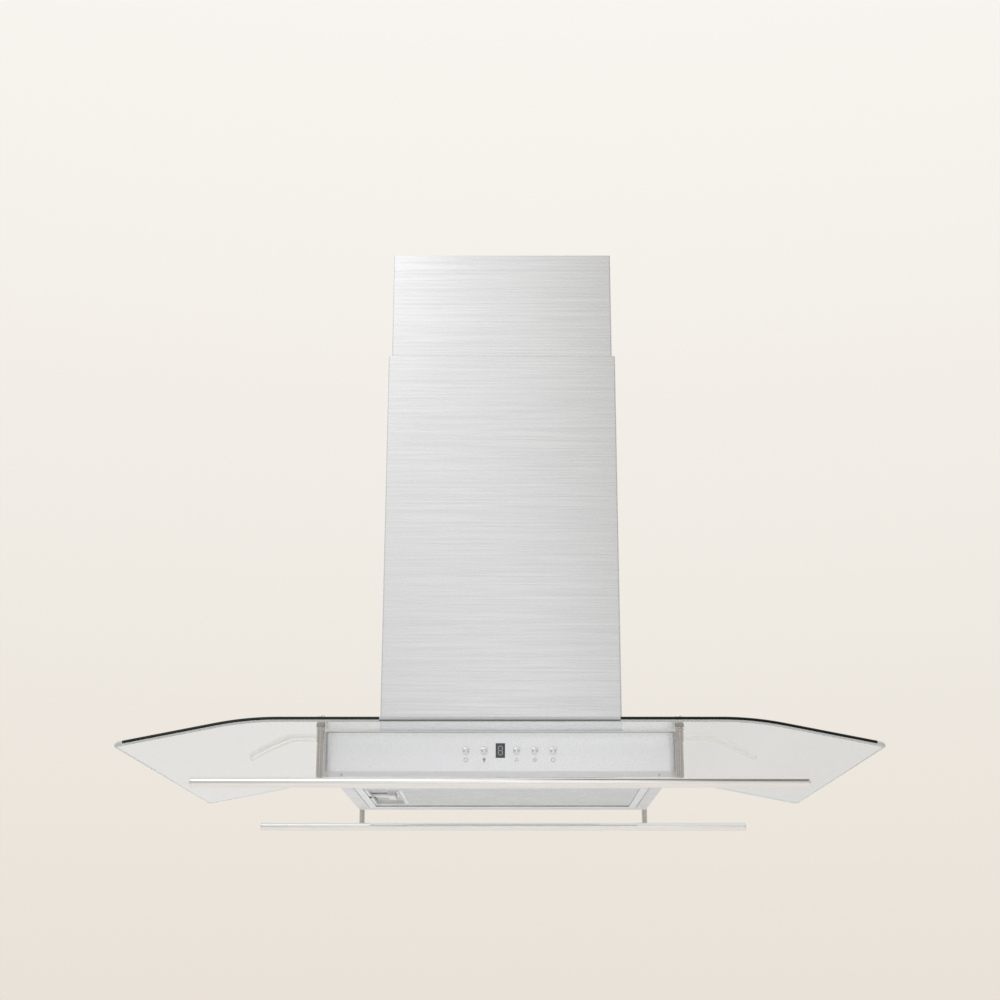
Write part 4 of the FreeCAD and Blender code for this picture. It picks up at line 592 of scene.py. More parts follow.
def oblong(half_x, half_y, centre_x=0.0, centre_y=0.0):
    """The corners of a rectangle, in order."""
    return [(centre_x + i * half_x, centre_y + j * half_y)
            for i, j in ((-1, -1), (1, -1), (1, 1), (-1, 1))]


def lathe_piece(name, slot, node, places, profile, bore=None, segments=40, finishes=None):
    """Like turned parts made as one piece. A bored one has a closed profile."""
    shape = bmesh.new()
    for place in places:
        (tubular if bore else turn)(shape, profile, place, segments)
    return piece(name, shape, slot, node, finishes=finishes)


# ---------------------------------------------------------------- chimney

def cover_section(low, high, lip):
    """A cover's closed section as (distance inside the outer face, height)."""
    sheet, bend = sizes().sheet, sizes().sheet_bend
    if not lip:
        return [(0, low), (0, high), (sheet, high), (sheet, low)]

    def fold(radius):
        """A quarter turn round the fold's centre, from the wall to the lip."""
        turns = [math.radians(18 * i) for i in range(6)]
        return [(bend - radius * math.cos(t), high - bend + radius * math.sin(t)) for t in turns]

    return ([(0, low)] + fold(bend) + [(lip, high), (lip, high - sheet)]
            + fold(bend - sheet)[::-1] + [(sheet, low)])


def folded_half(side, node, lip):
    """Half a cover: a front or rear face folded round into two side walls."""
    low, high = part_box(node)
    half_x = high.x
    half_y = max(abs(low.y), abs(high.y))
    rings = []
    shape = bmesh.new()
    seam = sizes().seam / 2
    for inset, height in cover_section(low.z, high.z, lip):
        x, y = half_x - inset, half_y - inset
        path = [(x, side * seam, height), (x, side * y, height),
                (-x, side * y, height), (-x, side * seam, height)]
        bend = max(sizes().sheet_bend - inset, 0.2 * MM)
        rings.append([shape.verts.new(point) for point in rounded_corners(path, bend, 5)])
    for near, far in zip(rings, rings[1:] + rings[:1]):
        strip(shape, near, far, closed=False)
    shape.faces.new([ring[0] for ring in rings])
    shape.faces.new([ring[-1] for ring in rings])
    if side > 0:
        sheet, lap = sizes().sheet, sizes().seam_lap
        top = high.z - (2 * sheet if lip else 22 * MM)
        for i in (-1, 1):
            walls = (i * (half_x - 2 * sheet), i * (half_x - 1.2 * sheet), i * (half_x - 0.95 * sheet))
            block(shape, (walls[0], -lap, low.z), (walls[1], 0, top))
            block(shape, (walls[0], 0, low.z), (walls[2], lap, top))
    return shape


class HOOD_OT_covers(bpy.types.Operator):
    """Fold the upper and lower chimney covers, each in two halves that meet at the side seams"""
    bl_idname = "hood.covers"
    bl_label = "Chimney covers"

    def execute(self, context):
        for part, lip in (("upper", 0), ("lower", sizes().cover_lip)):
            for side, half in ((-1, "front"), (1, "rear")):
                node = f"{part}_cover_{half}"
                piece(f"{node}_folded", folded_half(side, node, lip), "covers_steel", node)
        return {"FINISHED"}


class HOOD_OT_fixings(bpy.types.Operator):
    """Turn the rivets in the lower seams, the screws of the upper cover and those of the fascia"""
    bl_idname = "hood.fixings"
    bl_label = "Rivets and screws"

    def execute(self, context):
        rivets = bmesh.new()
        low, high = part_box("lower_cover_rivets")
        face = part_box("lower_cover_front")[1].x
        head, from_seam = 3 * MM, 6 * MM
        profile = mm((0, -2.4), (1.6, -2.4), (1.6, 0), (3, 0.02), (2.95, 0.4), (2.5, 0.85),
                     (1.6, 1.15), (0.9, 1.18), (0.8, 0.75), (0, 0.72))
        for i in range(4):
            z = low.z + head + i * (high.z - low.z - 2 * head) / 3
            for side, along in SIDES:
                turn(rivets, profile, placed(side * face, -from_seam, z, along), 28)
        piece("rivets_domed", rivets, "fasteners", "lower_cover_rivets")
        screws = bmesh.new()
        z = middle("cover_screws").z
        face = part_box("upper_cover_front")[1].x
        for side, along in SIDES:
            for y in (-70 * MM, 70 * MM):
                pan_head(screws, placed(side * face, y, z, along), shank=1.9, reach=5.1, head=3.5, rise=1.8)
        piece("cover_screws_turned", screws, "fasteners", "cover_screws")
        small = bmesh.new()
        low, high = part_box("fascia_screws")
        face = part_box("fascia_frame")[0].y
        head = 1.7
        for x in (low.x + head * MM, high.x - head * MM):
            pan_head(small, placed(x, face, (low.z + high.z) / 2, "-Y"),
                     shank=1.2, reach=12, head=head, rise=0.8)
        piece("fascia_screws_turned", small, "fasteners", "fascia_screws")
        return {"FINISHED"}


def pan_head(shape, place, shank, reach, head, rise):
    """A pan headed screw with a round socket, in mm, its head's seat at height nought."""
    turn(shape, mm((0, -reach), (0.7 * shank, -reach), (shank, -reach + 0.6 * shank), (shank, 0),
                   (0.96 * head, 0), (head, 0.15 * rise), (0.97 * head, 0.55 * rise),
                   (0.8 * head, 0.9 * rise), (0.55 * head, rise), (0.42 * head, rise),
                   (0.38 * head, 0.45 * rise), (0, 0.4 * rise)), place, 28)


# ---------------------------------------------------------------- glass

def pane_point(s, y, height):
    """A point of the bent pane: s runs over its underside from the middle."""
    flat, radius, angle = sizes().glass_flat / 2, sizes().bend_radius, sizes().wing_angle
    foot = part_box("glass_canopy")[1].z - sizes().glass_thickness
    side, s = (1, s) if s >= 0 else (-1, -s)
    turned = min(max((s - flat) / radius, 0), angle)
    x = min(s, flat) + radius * math.sin(turned)
    z = foot - radius * (1 - math.cos(turned))
    beyond = max(s - flat - radius * angle, 0)
    x += beyond * math.cos(angle) + height * math.sin(turned)
    z += height * math.cos(turned) - beyond * math.sin(angle)
    return Vector((side * x, y, z))


def pane_reach():
    """Length of the underside from the middle to a wing's tip."""
    flat, radius, angle = sizes().glass_flat / 2, sizes().bend_radius, sizes().wing_angle
    bend_end = flat + (radius + sizes().glass_thickness) * math.sin(angle)
    return flat + radius * angle + (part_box("glass_canopy")[1].x - bend_end) / math.cos(angle)


def pane_outline(columns, inset, steps):
    """The pane's outline, moved in from its edge, as (s, y)."""
    corner, half_y = sizes().glass_corner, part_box("glass_canopy")[1].y
    centre_s, centre_y = pane_reach() - corner, half_y - corner

    def arc(side_s, side_y, start, skip_first, skip_last):
        angles = range(skip_first, steps + 1 - skip_last)
        reach = corner - inset
        return [(side_s * centre_s + reach * math.cos(math.radians(start + 90 * i / steps)),
                 side_y * centre_y + reach * math.sin(math.radians(start + 90 * i / steps))) for i in angles]

    front = [(s, inset - half_y) for s in columns]
    rear = [(s, half_y - inset) for s in reversed(columns[:-1])]
    return (front + arc(1, -1, -90, 1, 0) + arc(1, 1, 0, 0, 0) + rear
            + arc(-1, 1, 90, 1, 0) + arc(-1, -1, 180, 0, 1))


def crossed(x, y):
    """The four points at plus and minus x and y."""
    return [(i * x, j * y) for i in (-1, 1) for j in (-1, 1)]


def post_axes():
    """Where the four rail posts stand, as (x, y)."""
    reach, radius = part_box("rail_posts")[1], 4 * MM
    return crossed(reach.x - radius, reach.y - radius)


def pane_holes():
    """Outlines of the opening for the blower and of the twelve round holes, as (s, y)."""
    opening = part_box("blower_chamber")[1]
    gap = sizes().opening_gap
    x, y = opening.x + gap, opening.y + gap
    outlines = [[(p.x, p.y) for p in rounded_corners(oblong(x, y), 2 * MM, 4, True)]]
    bolt_head, beside = 5.8 * MM, 90 * MM
    clamp_x, clamp_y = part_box("glass_clamp_bolts")[1].x - bolt_head, 137 * MM
    for x, y in crossed(clamp_x, beside) + crossed(beside, clamp_y) + post_axes():
        outlines.append([(x + a, y + b) for a, b in ring_of(sizes().glass_hole, 24)])
    return outlines


# Finishes of the pane: clear faces, the edge's painted dark and painted grey shade, and the pale edge.
CLEAR, PAINTED_DARK, PAINTED_GREY, PALE = range(4)


class HOOD_OT_canopy(bpy.types.Operator):
    """Bend the glass pane: its flat middle, two wings, opening, holes and pencil round edge"""
    bl_idname = "hood.canopy"
    bl_label = "Glass canopy"

    def execute(self, context):
        thick, flat = sizes().glass_thickness, sizes().glass_flat / 2
        tip = pane_reach() - sizes().glass_corner
        bends = [flat + i * sizes().bend_radius * sizes().wing_angle / 12 for i in range(13)]
        half = [sizes().pale_edge / 2] + bends + [tip]
        columns = [-s for s in reversed(half)] + half
        steps, half_turn = 8, 10
        profile = [(thick / 2 * (1 - math.sin(math.pi * i / half_turn)),
                    thick / 2 * (1 + math.cos(math.pi * i / half_turn))) for i in range(half_turn + 1)]
        border = thick / 2 + 1 * MM
        profile = [(border, thick)] + profile + [(border, 0)]
        shape = bmesh.new()
        rings = []
        for inset, height in profile:
            rings.append([shape.verts.new(pane_point(s, y, height))
                          for s, y in pane_outline(columns, inset, steps)])
        for row, (near, far) in enumerate(zip(rings, rings[1:])):
            for i, face in enumerate(strip(shape, near, far)):
                face.material_index = self.finish_of(row, len(rings) - 1, i, columns)
        self.fill(shape, columns, steps, rings[0], rings[-1])
        piece("glass_canopy_bent", shape, "canopy_glass", "glass_canopy", crease=40,
              finishes=[tempered_glass, glass_edge_painted_dark, glass_edge_painted_grey, pale_glass_edge])
        return {"FINISHED"}

    def finish_of(self, row, rows, i, columns):
        """Which finish a face of the edge has: the front edge's upper half is painted dark beside the
        chimney, and a painted grey band runs low in front of it.
        """
        if row in (0, rows - 1):
            return CLEAR
        if i >= len(columns) - 1:
            return PALE
        if i != len(columns) // 2 - 1:
            return PAINTED_DARK if row <= rows / 2 else PALE
        return PAINTED_GREY if rows / 2 < row < rows - 3 else PALE

    def fill(self, shape, columns, steps, top, under):
        """Close the two faces of the pane, and line its holes."""
        n = len(columns)
        rear = [n + 2 * steps + (n - 1 - j) for j in range(n)]
        first, last = n // 2 - 2, n // 2 + 1
        for ring in (top, under):
            for j in range(n - 1):
                if not first <= j < last:
                    shape.faces.new((ring[j], ring[j + 1], ring[rear[j + 1]], ring[rear[j]]))
            shape.faces.new(ring[n - 1:rear[n - 1] + 1])
            shape.faces.new(ring[rear[0]:] + [ring[0]])
        around = list(range(first, last + 1)) + [rear[j] for j in range(last, first - 1, -1)]
        uppers = [top[i] for i in around]
        lowers = [under[i] for i in around]
        loops = [[(corner.co.x, corner.co.y) for corner in uppers]] + pane_holes()
        for x, y in sum(loops[1:], []):
            uppers.append(shape.verts.new(pane_point(x, y, sizes().glass_thickness)))
            lowers.append(shape.verts.new(pane_point(x, y, 0)))
        triangles, edges = pierced(loops)
        for ids in triangles:
            shape.faces.new([uppers[i] for i in ids])
            shape.faces.new([lowers[i] for i in ids])
        for a, b in sum(edges[1:], []):
            shape.faces.new((uppers[a], uppers[b], lowers[b], lowers[a]))


# ---------------------------------------------------------------- rails

def post_places(z):
    """Upright places of the four rail posts at a height."""
    return [placed(x, y, z) for x, y in post_axes()]


class HOOD_OT_rails(bpy.types.Operator):
    """Draw the two utensil rails and turn their four rounded caps"""
    bl_idname = "hood.rails"
    bl_label = "Utensil rails"

    def execute(self, context):
        for node in ("front_rail", "rear_rail"):
            low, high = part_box(node)
            radius, reach, edge, wall = (high.z - low.z) / 2, high.x, 0.25 * MM, 1.2 * MM
            centre = middle(node)
            profile = [(radius - wall, -reach), (radius - edge, -reach), (radius, -reach + edge),
                       (radius, reach - edge), (radius - edge, reach), (radius - wall, reach)]
            lathe_piece(f"{node}_drawn", "polished_steel", node, [placed(0, centre.y, centre.z, "X")],
                        profile, bore=True, segments=64)
        low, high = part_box("rail_end_caps")
        radius = (high.z - low.z) / 2
        cap_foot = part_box("front_rail")[1].x
        y, z = high.y - radius, (low.z + high.z) / 2
        wide, thick, rim = radius / MM, (high.x - cap_foot) / MM, 2.4
        profile = [(0, -9), (wide - 1.6, -9), (wide - 1.3, -8.6), (wide - 1.3, 0),
                   (wide - 0.15, 0), (wide, 0.15)]
        for i in range(1, 9):
            angle = math.radians(90 * i / 8)
            profile.append((wide - rim * (1 - math.cos(angle)), thick - rim * (1 - math.sin(angle))))
        profile = mm(*profile, (0, thick))
        places = [placed(side * cap_foot, end * y, z, along) for side, along in SIDES for end in (-1, 1)]
        lathe_piece("rail_caps_turned", "polished_steel", "rail_end_caps", places, profile, segments=48)
        return {"FINISHED"}


class HOOD_OT_posts(bpy.types.Operator):
    """Turn the rail posts, their collared sleeves, the washers and the cap nuts on the glass"""
    bl_idname = "hood.posts"
    bl_label = "Rail posts"

    def execute(self, context):
        low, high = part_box("rail_posts")
        shoulder, top = (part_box("post_sleeves")[1].z - low.z) / MM, (high.z - low.z) / MM
        # The posts and their sleeves wear a darker copy of the polished steel: painted shade.
        lathe_piece("rail_posts_turned", "polished_steel", "rail_posts", post_places(low.z),
                    mm((0, 0), (4, 0), (4, shoulder - 0.4), (3.7, shoulder), (3, shoulder),
                       (3, top - 0.5), (2.5, top), (0, top)), finishes=[turned_stainless_painted_shade])
        low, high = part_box("post_sleeves")
        top = (high.z - low.z) / MM
        ring = top - 4.05
        lathe_piece("post_sleeves_turned", "polished_steel", "post_sleeves", post_places(low.z),
                    mm((4.1, 0), (4.35, 0), (4.6, 0.4), (4.6, ring), (5.1, ring + 0.05),
                       (5.4, ring + 0.4), (5.4, ring + 1.1), (5.1, ring + 1.45), (4.6, ring + 1.5),
                       (4.6, top - 0.2), (4.45, top), (4.1, top)),
                    bore=True, finishes=[turned_stainless_painted_shade])
        low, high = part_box("post_washers")
        washer = 1.5
        lathe_piece("post_washers_moulded", "washers", "post_washers",
                    post_places(low.z) + post_places(high.z - washer * MM),
                    mm((3.1, 0), (5.2, 0), (5.4, 0.3), (5.4, 1.2), (5.2, washer), (3.1, washer)), bore=True)
        low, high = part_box("cap_nuts")
        top = (high.z - low.z) / MM
        lathe_piece("cap_nuts_turned", "polished_steel", "cap_nuts", post_places(low.z),
                    mm((3.02, 0), (4.6, 0), (4.8, 0.25), (4.8, 0.62 * top), (4.6, 0.78 * top),
                       (4.1, 0.9 * top), (3, 0.97 * top), (1.6, top), (0, top), (0, 0.72 * top),
                       (3.02, 0.7 * top)), bore=True)
        return {"FINISHED"}


# ---------------------------------------------------------------- control strip

BUTTONS = ("power_button", "light_button", "low_speed_button", "medium_speed_button", "high_speed_button")


class HOOD_OT_strip(bpy.types.Operator):
    """Press the fascia frame and the control panel, whose two ends roll back into the frame"""
    bl_idname = "hood.strip"
    bl_label = "Control strip"

    def execute(self, context):
        soften("fascia_frame", 0.8)
        soften("control_box", 0.6, finishes=[satin_stainless])
        low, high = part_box("control_panel")
        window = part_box("display_window")
        centre = middle("display_window")
        flat, window_gap, button_hole = high.x - sizes().panel_roll, 0.2 * MM, 4.8 * MM
        loops = [oblong(flat, (high.z - low.z) / 2, 0, (low.z + high.z) / 2)]
        loops.append(oblong((window[1].x - window[0].x) / 2 + window_gap,
                            (window[1].z - window[0].z) / 2 + window_gap, centre.x, centre.z))
        for node in BUTTONS:
            button = middle(node)
            loops.append([(button.x + x, button.z + z) for x, z in ring_of(button_hole, 32)])
        shape = bmesh.new()
        front = [shape.verts.new((x, low.y, z)) for x, z in sum(loops, [])]
        back = [shape.verts.new((x, high.y, z)) for x, z in sum(loops, [])]
        triangles, edges = pierced(loops)
        for ids in triangles:
            shape.faces.new([front[i] for i in ids])
            shape.faces.new([back[i] for i in ids])
        for a, b in sum(edges[1:], []):
            shape.faces.new((front[a], front[b], back[b], back[a]))
        self.roll_ends(shape, front, back, low, high)
        piece("control_panel_pressed", shape, "panel", "control_panel", crease=40)
        return {"FINISHED"}

    def roll_ends(self, shape, front, back, low, high):
        """Carry the panel's face round to its back at both ends."""
        depth = high.y - low.y - 0.1 * MM
        width = sizes().panel_roll
        radius = (width ** 2 + depth ** 2) / (2 * depth)
        for side in (-1, 1):
            low_row = [front[0] if side < 0 else front[1]]
            high_row = [front[3] if side < 0 else front[2]]
            for i in range(1, 9):
                x = width * i / 8
                y = low.y + radius - math.sqrt(radius ** 2 - x ** 2)
                reach = side * (high.x - width + x)
                low_row.append(shape.verts.new((reach, y, low.z)))
                high_row.append(shape.verts.new((reach, y, high.z)))
            low_back = shape.verts.new((side * high.x, high.y, low.z))
            high_back = shape.verts.new((side * high.x, high.y, high.z))
            strip(shape, low_row, high_row, closed=False)
            shape.faces.new((low_row[-1], low_back, high_back, high_row[-1]))
            near_back = (back[0], back[3]) if side < 0 else (back[1], back[2])
            shape.faces.new((near_back[0], low_back, high_back, near_back[1]))
            shape.faces.new(low_row + [low_back, near_back[0]])
            shape.faces.new(high_row + [high_back, near_back[1]])
        shape.faces.new((front[0], front[1], back[1], back[0]))
        shape.faces.new((front[3], front[2], back[2], back[3]))


class HOOD_OT_buttons(bpy.types.Operator):
    """Turn the five domed buttons with their collars and stems"""
    bl_idname = "hood.buttons"
    bl_label = "Push buttons"

    def execute(self, context):
        for node in BUTTONS:
            low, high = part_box(node)
            centre = middle(node)
            front, stem = -low.y / MM, -high.y / MM
            collar = -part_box("control_panel")[1].y / MM - 0.3
            dome, radius = 1.9, 4.5
            profile = [(0, stem), (1.8, stem), (2, stem + 0.2), (2, collar - 1), (5.6, collar - 1),
                       (5.8, collar - 0.8), (5.8, collar - 0.2), (5.6, collar), (radius, collar)]
            for i in range(13):
                angle = math.radians(90 * i / 12)
                profile.append((radius * math.cos(angle), front - dome + dome * math.sin(angle)))
            lathe_piece(f"{node}_domed", "polished_steel", node, [placed(centre.x, 0, centre.z, "-Y")],
                        mm(*profile), segments=48)
        return {"FINISHED"}


def on_panel(x, z, lift=0.0):
    """A place on the panel's face, whose own X and Y run right and up it."""
    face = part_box("control_panel")[0].y - lift
    return Matrix.Translation((x, face, z)) @ Matrix.Rotation(math.pi / 2, 4, "X")


class HOOD_OT_marks(bpy.types.Operator):
    """Print the five plain marks under the buttons: ring, bulb, dots, diamond and rosette"""
    bl_idname = "hood.marks"
    bl_label = "Button marks"

    def execute(self, context):
        shape = bmesh.new()
        line, ink = sizes().mark_width, sizes().ink
        z = middle("power_button").z - sizes().mark_drop
        places = [on_panel(middle(node).x, z) for node in BUTTONS]
        reach, wave = 2.6 * MM, 0.25 * MM
        band(shape, ring_of(reach, 28), ring_of(reach - line, 28), places[0], ink)
        plate(shape, ring_of(1.8 * MM, 20), places[1] @ Matrix.Translation((0, 0.6 * MM, 0)), ink)
        plate(shape, oblong(0.8 * MM, 0.8 * MM), places[1] @ Matrix.Translation((0, -2.1 * MM, 0)), ink)
        for x, y in ((0, 1.6), (-1.5, -1), (1.5, -1)):
            plate(shape, ring_of(0.75 * MM, 12), places[2] @ Matrix.Translation((x * MM, y * MM, 0)), ink)
        band(shape, ring_of(reach, 4), ring_of(reach - 1.4 * line, 4), places[3], ink)
        band(shape, ring_of(reach, 36, wave), ring_of(reach - line, 36, wave), places[4], ink)
        piece("button_marks", shape, None, body="hood", finishes=[mark_ink])
        return {"FINISHED"}


class HOOD_OT_display(bpy.types.Operator):
    """Glaze the digit display: its window and one unlit digit"""
    bl_idname = "hood.display"
    bl_label = "Digit display"

    def execute(self, context):
        soften("display_window", 0.25)
        low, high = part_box("display_window")
        centre = (low + high) / 2
        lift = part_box("control_panel")[0].y - low.y
        digit = bmesh.new()
        wide, tall, bar = 2.4 * MM, 5.2 * MM, 0.55 * MM
        bars = [(0, tall, 0), (0, 0, 0), (0, -tall, 0)]
        bars += [(i * wide, j * tall / 2, 1) for i in (-1, 1) for j in (-1, 1)]
        for x, z, upright in bars:
            reach = (tall if upright else 2 * wide) / 2 - 0.25 * MM
            outline = [(-reach, 0), (bar - reach, bar), (reach - bar, bar), (reach, 0),
                       (reach - bar, -bar), (bar - reach, -bar)]
            if upright:
                outline = [(-b, a) for a, b in outline]
            plate(digit, outline, on_panel(centre.x + x, centre.z + z, lift), sizes().ink)
        piece("display_digit", digit, None, body="hood", finishes=[digit_film])
        return {"FINISHED"}


# ---------------------------------------------------------------- body and filter

class HOOD_OT_tray(bpy.types.Operator):
    """Press the body tray and turn the lamp bezels and lenses in its front"""
    bl_idname = "hood.tray"
    bl_label = "Body tray and lamps"

    def execute(self, context):
        soften("body_pan", 0.45)
        low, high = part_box("lamp_bezels")
        bezel, lens, rim, dome = 33, 24, 0.9, 1.6

        def places(z):
            return [placed(side * (high.x - bezel * MM), (low.y + high.y) / 2, z, "-Z") for side in (-1, 1)]

        lathe_piece("lamp_bezels_turned", "polished_steel", "lamp_bezels", places(high.z),
                    mm((24.2, 0), (bezel, 0), (32.9, 0.5), (32.3, 1.15), (31, 1.65), (28.6, 2),
                       (26.4, 1.95), (25, 1.5), (24.3, 0.7)), bore=True, segments=72)
        profile = [(0, 0), (lens, 0), (lens, rim)]
        for i in range(1, 11):
            angle = math.radians(9 * i)
            profile.append((lens * math.cos(angle), rim + dome * math.sin(angle)))
        lathe_piece("lamp_lenses_pressed", "lamp_glass", "lamp_lenses",
                    places(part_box("lamp_lenses")[1].z), mm(*profile), segments=64)
        return {"FINISHED"}


def diamond_sheet(shape, low, high, z, shift, keep_out):
    """Add one sheet of expanded metal: slit, stretched, and left with its strands twisted."""
    wide, tall, strand = sizes().diamond_width, sizes().diamond_height, sizes().strand
    inner = 1 - strand / tall * 1.6
    twist, thick = 0.35 * MM, 0.5 * MM
    corners = {}

    def corner(x, y, height):
        key = (round(x, 6), round(y, 6))
        if key not in corners:
            corners[key] = shape.verts.new((x, y, height))
        return corners[key]

    faces = []
    columns, rows = int((high[0] - low[0]) / wide) + 1, int(2 * (high[1] - low[1]) / tall) + 1
    for row in range(rows):
        for column in range(columns):
            x = low[0] + shift + (column + 0.5 * (row % 2) + 0.5) * wide
            y = low[1] + (row + 1) * tall / 2
            if x + wide / 2 > high[0] or y + tall / 2 > high[1]:
                continue
            if any(a[0] - wide / 2 < x < b[0] + wide / 2 and a[1] - tall / 2 < y < b[1] + tall / 2
                   for a, b in keep_out):
                continue
            outer = [corner(x + wide / 2, y, z), corner(x, y + tall / 2, z),
                     corner(x - wide / 2, y, z), corner(x, y - tall / 2, z)]
            hole = [shape.verts.new((x + inner * wide / 2, y, z)),
                    shape.verts.new((x, y + inner * tall / 2, z + twist)),
                    shape.verts.new((x - inner * wide / 2, y, z)),
                    shape.verts.new((x, y - inner * tall / 2, z - twist))]
            for i in range(4):
                j = (i + 1) % 4
                faces.append(shape.faces.new((outer[i], outer[j], hole[j], hole[i])))
    risen = bmesh.ops.extrude_face_region(shape, geom=faces)
    for thing in risen["geom"]:
        if isinstance(thing, bmesh.types.BMVert):
            thing.co.z += thick


class HOOD_OT_filter(bpy.types.Operator):
    """Expand the aluminium mesh pack, fold its frame, and press the latch pocket and its slider"""
    bl_idname = "hood.filter"
    bl_label = "Grease filter"

    def execute(self, context):
        soften("filter_frame", 0.35, self.side_lips)
        soften("latch_pocket", 0.4)
        soften("latch_slider", 0.5)
        low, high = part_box("filter_mesh")
        near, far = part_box("latch_pocket")
        gap, flange, half_slot = 0.2 * MM, 1 * MM, 8.5 * MM
        hole = ((near.x - gap, near.y - gap), (far.x + gap, far.y + gap))
        slot_y = (middle("latch_slider").y - half_slot, middle("latch_slider").y + half_slot)
        keep_out = [((hole[0][0] - flange, hole[0][1] - flange), (hole[1][0] + flange, hole[1][1] + flange)),
                    ((low.x, slot_y[0]), (hole[0][0], slot_y[1]))]
        shape = bmesh.new()
        span = ((low.x, low.y), (high.x, high.y))
        for z, shift in ((low.z + 0.4 * MM, 0), (low.z + 2.3 * MM, 3 * MM), (high.z - 0.9 * MM, 1 * MM)):
            diamond_sheet(shape, *span, z, shift, keep_out)
        self.pocket_flange(shape, hole, slot_y, low.z, flange + 4 * MM)
        piece("filter_mesh_expanded", shape, "filter_aluminium", "filter_mesh", crease=25)
        return {"FINISHED"}

    def side_lips(self, shape):
        """Folded lips that leave only a fine line beside the tray's opening."""
        low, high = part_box("filter_frame")
        sheet, from_end = 0.8 * MM, 9.5 * MM
        for side in (-1, 1):
            left, right = sorted((side * (high.x - sheet), side * (high.x + sizes().filter_lip)))
            block(shape, (left, low.y + from_end, low.z), (right, high.y - from_end, low.z + sheet))

    def pocket_flange(self, shape, hole, slot_y, z, width):
        """The flat rim that joins the mesh to the pocket, open where the latch bolt passes."""
        (x0, y0), (x1, y1) = hole
        outline = [(x0, slot_y[1]), (x0, y1), (x1, y1), (x1, y0), (x0, y0), (x0, slot_y[0])]
        outer = [(x0 - width, slot_y[1]), (x0 - width, y1 + width), (x1 + width, y1 + width),
                 (x1 + width, y0 - width), (x0 - width, y0 - width), (x0 - width, slot_y[0])]
        low, high = [[[shape.verts.new((x, y, z + rise)) for x, y in line] for line in (outline, outer)]
                     for rise in (0.1 * MM, 0.6 * MM)]
        for near, far in (low, high, (low[0], high[0]), (low[1], high[1])):
            strip(shape, near, far, closed=False)
        for i in (0, -1):
            shape.faces.new((low[0][i], low[1][i], high[1][i], high[0][i]))


class HOOD_OT_insides(bpy.types.Operator):
    """Finish the pieces inside, whose shapes are used as they come"""
    bl_idname = "hood.insides"
    bl_label = "Blower, frames and wiring"

    def execute(self, context):
        for node in frame["nodes"].values():
            if not node.hide_render:
                for slot in node.material_slots:
                    slot.material = finish(FINISH_OF_SLOT[slot.material.name])
        return {"FINISHED"}


# ---------------------------------------------------------------- studio

HOOD_MIDDLE = Vector((0, 0, -0.4))
FLOOR_HEIGHT, FLOOR_RADIUS, FLOOR_THICK = -2.42, 7.0, 0.02
LENS, SHIFT = 56.44, (-0.0149, 0.0299)
EYE, EYE_TILT = (0.0175, -2.11335, -0.96368), 16.16


def softbox(name, centre, size, power, tint, through_glass=False):
    """A large soft lamp that faces the hood. It is seen in the metal and not by the camera."""
    lamp = bpy.data.lights.new(name, "AREA")
    lamp.shape = "RECTANGLE"
    lamp.size, lamp.size_y = size
    lamp.energy = power
    lamp.color = linear(tint)[:3]
    held = bpy.data.objects.new(name, lamp)
    held.location = centre
    held.rotation_euler = (HOOD_MIDDLE - held.location).to_track_quat("-Z", "Y").to_euler()
    held.visible_camera = False
    held.visible_transmission = through_glass
    bpy.context.scene.collection.objects.link(held)


def studio_air():
    """The room by direction, x right, y to the rear and z up: pale behind, bright at the front
    left, darker at the front right. The camera and the glass see the plain backdrop."""
    air = bpy.data.worlds.new("studio_air")
    air.use_nodes = True
    air.node_tree.nodes.clear()
    bpy.context.scene.world = air
    towards = add(air, "ShaderNodeSeparateXYZ", {0: add(air, "ShaderNodeTexCoord").outputs["Generated"]})
    x, y, z = towards.outputs

    def fade(value, start, end, first, second):
        """The first tone up to start, the second from end on."""
        return mixed(air, ranged(air, value, 0, 1, start, end), first, second)

    def lamp_white(level):
        """A neutral tone that may be brighter than white paper."""
        return (level, level, level, 1.0)

    off_middle = add(air, "ShaderNodeMath", {0: x, 1: 0.02}, operation="SUBTRACT")
    aside = add(air, "ShaderNodeMath", {0: off_middle.outputs[0]}, operation="ABSOLUTE").outputs[0]
    backdrop = fade(z, 0, 0.57, colours().backdrop_low, colours().backdrop_high)
    behind = fade(x, -0.05, 0.12, linear("#EEEDEE"), linear("#DBDADB"))
    behind = fade(z, 0, 0.57, behind, linear("#FBFAF8"))
    dark = fade(x, 0.22, 0.38, linear("#88837C"), linear("#CFCCC8"))
    low = fade(aside, 0.03, 0.2, lamp_white(1.0), linear("#C4C4C4"))
    level = fade(z, 0.02, 0.1, low, fade(aside, 0.03, 0.2, lamp_white(1.4), linear("#BEBEBE")))
    risen = fade(aside, 0.02, 0.12, linear("#E2E2E2"), linear("#BEBEBE"))
    high = fade(x, -0.07, 0.05, lamp_white(1.32), (1.0, 1.0, 0.99, 1.0))
    high = fade(x, -0.4, -0.15, linear("#EEEEEE"), high)
    overhead = fade(x, -0.01, 0.04, linear("#FFFFFF"), dark)
    front = fade(z, 0.55, 0.65, fade(z, 0.24, 0.38, risen, high), overhead)
    front = fade(z, 0.15, 0.19, level, fade(x, 0.07, 0.13, front, dark))
    room = fade(y, -0.55, -0.1, front, behind)
    seen = add(air, "ShaderNodeLightPath").outputs
    straight = add(air, "ShaderNodeMath", {0: seen["Is Camera Ray"], 1: seen["Is Transmission Ray"]},
                   operation="MAXIMUM")
    picked = mixed(air, straight.outputs[0], room, backdrop)
    glow = add(air, "ShaderNodeBackground", {"Color": picked, "Strength": 1.0})
    add(air, "ShaderNodeOutputWorld", {"Surface": glow.outputs[0]})


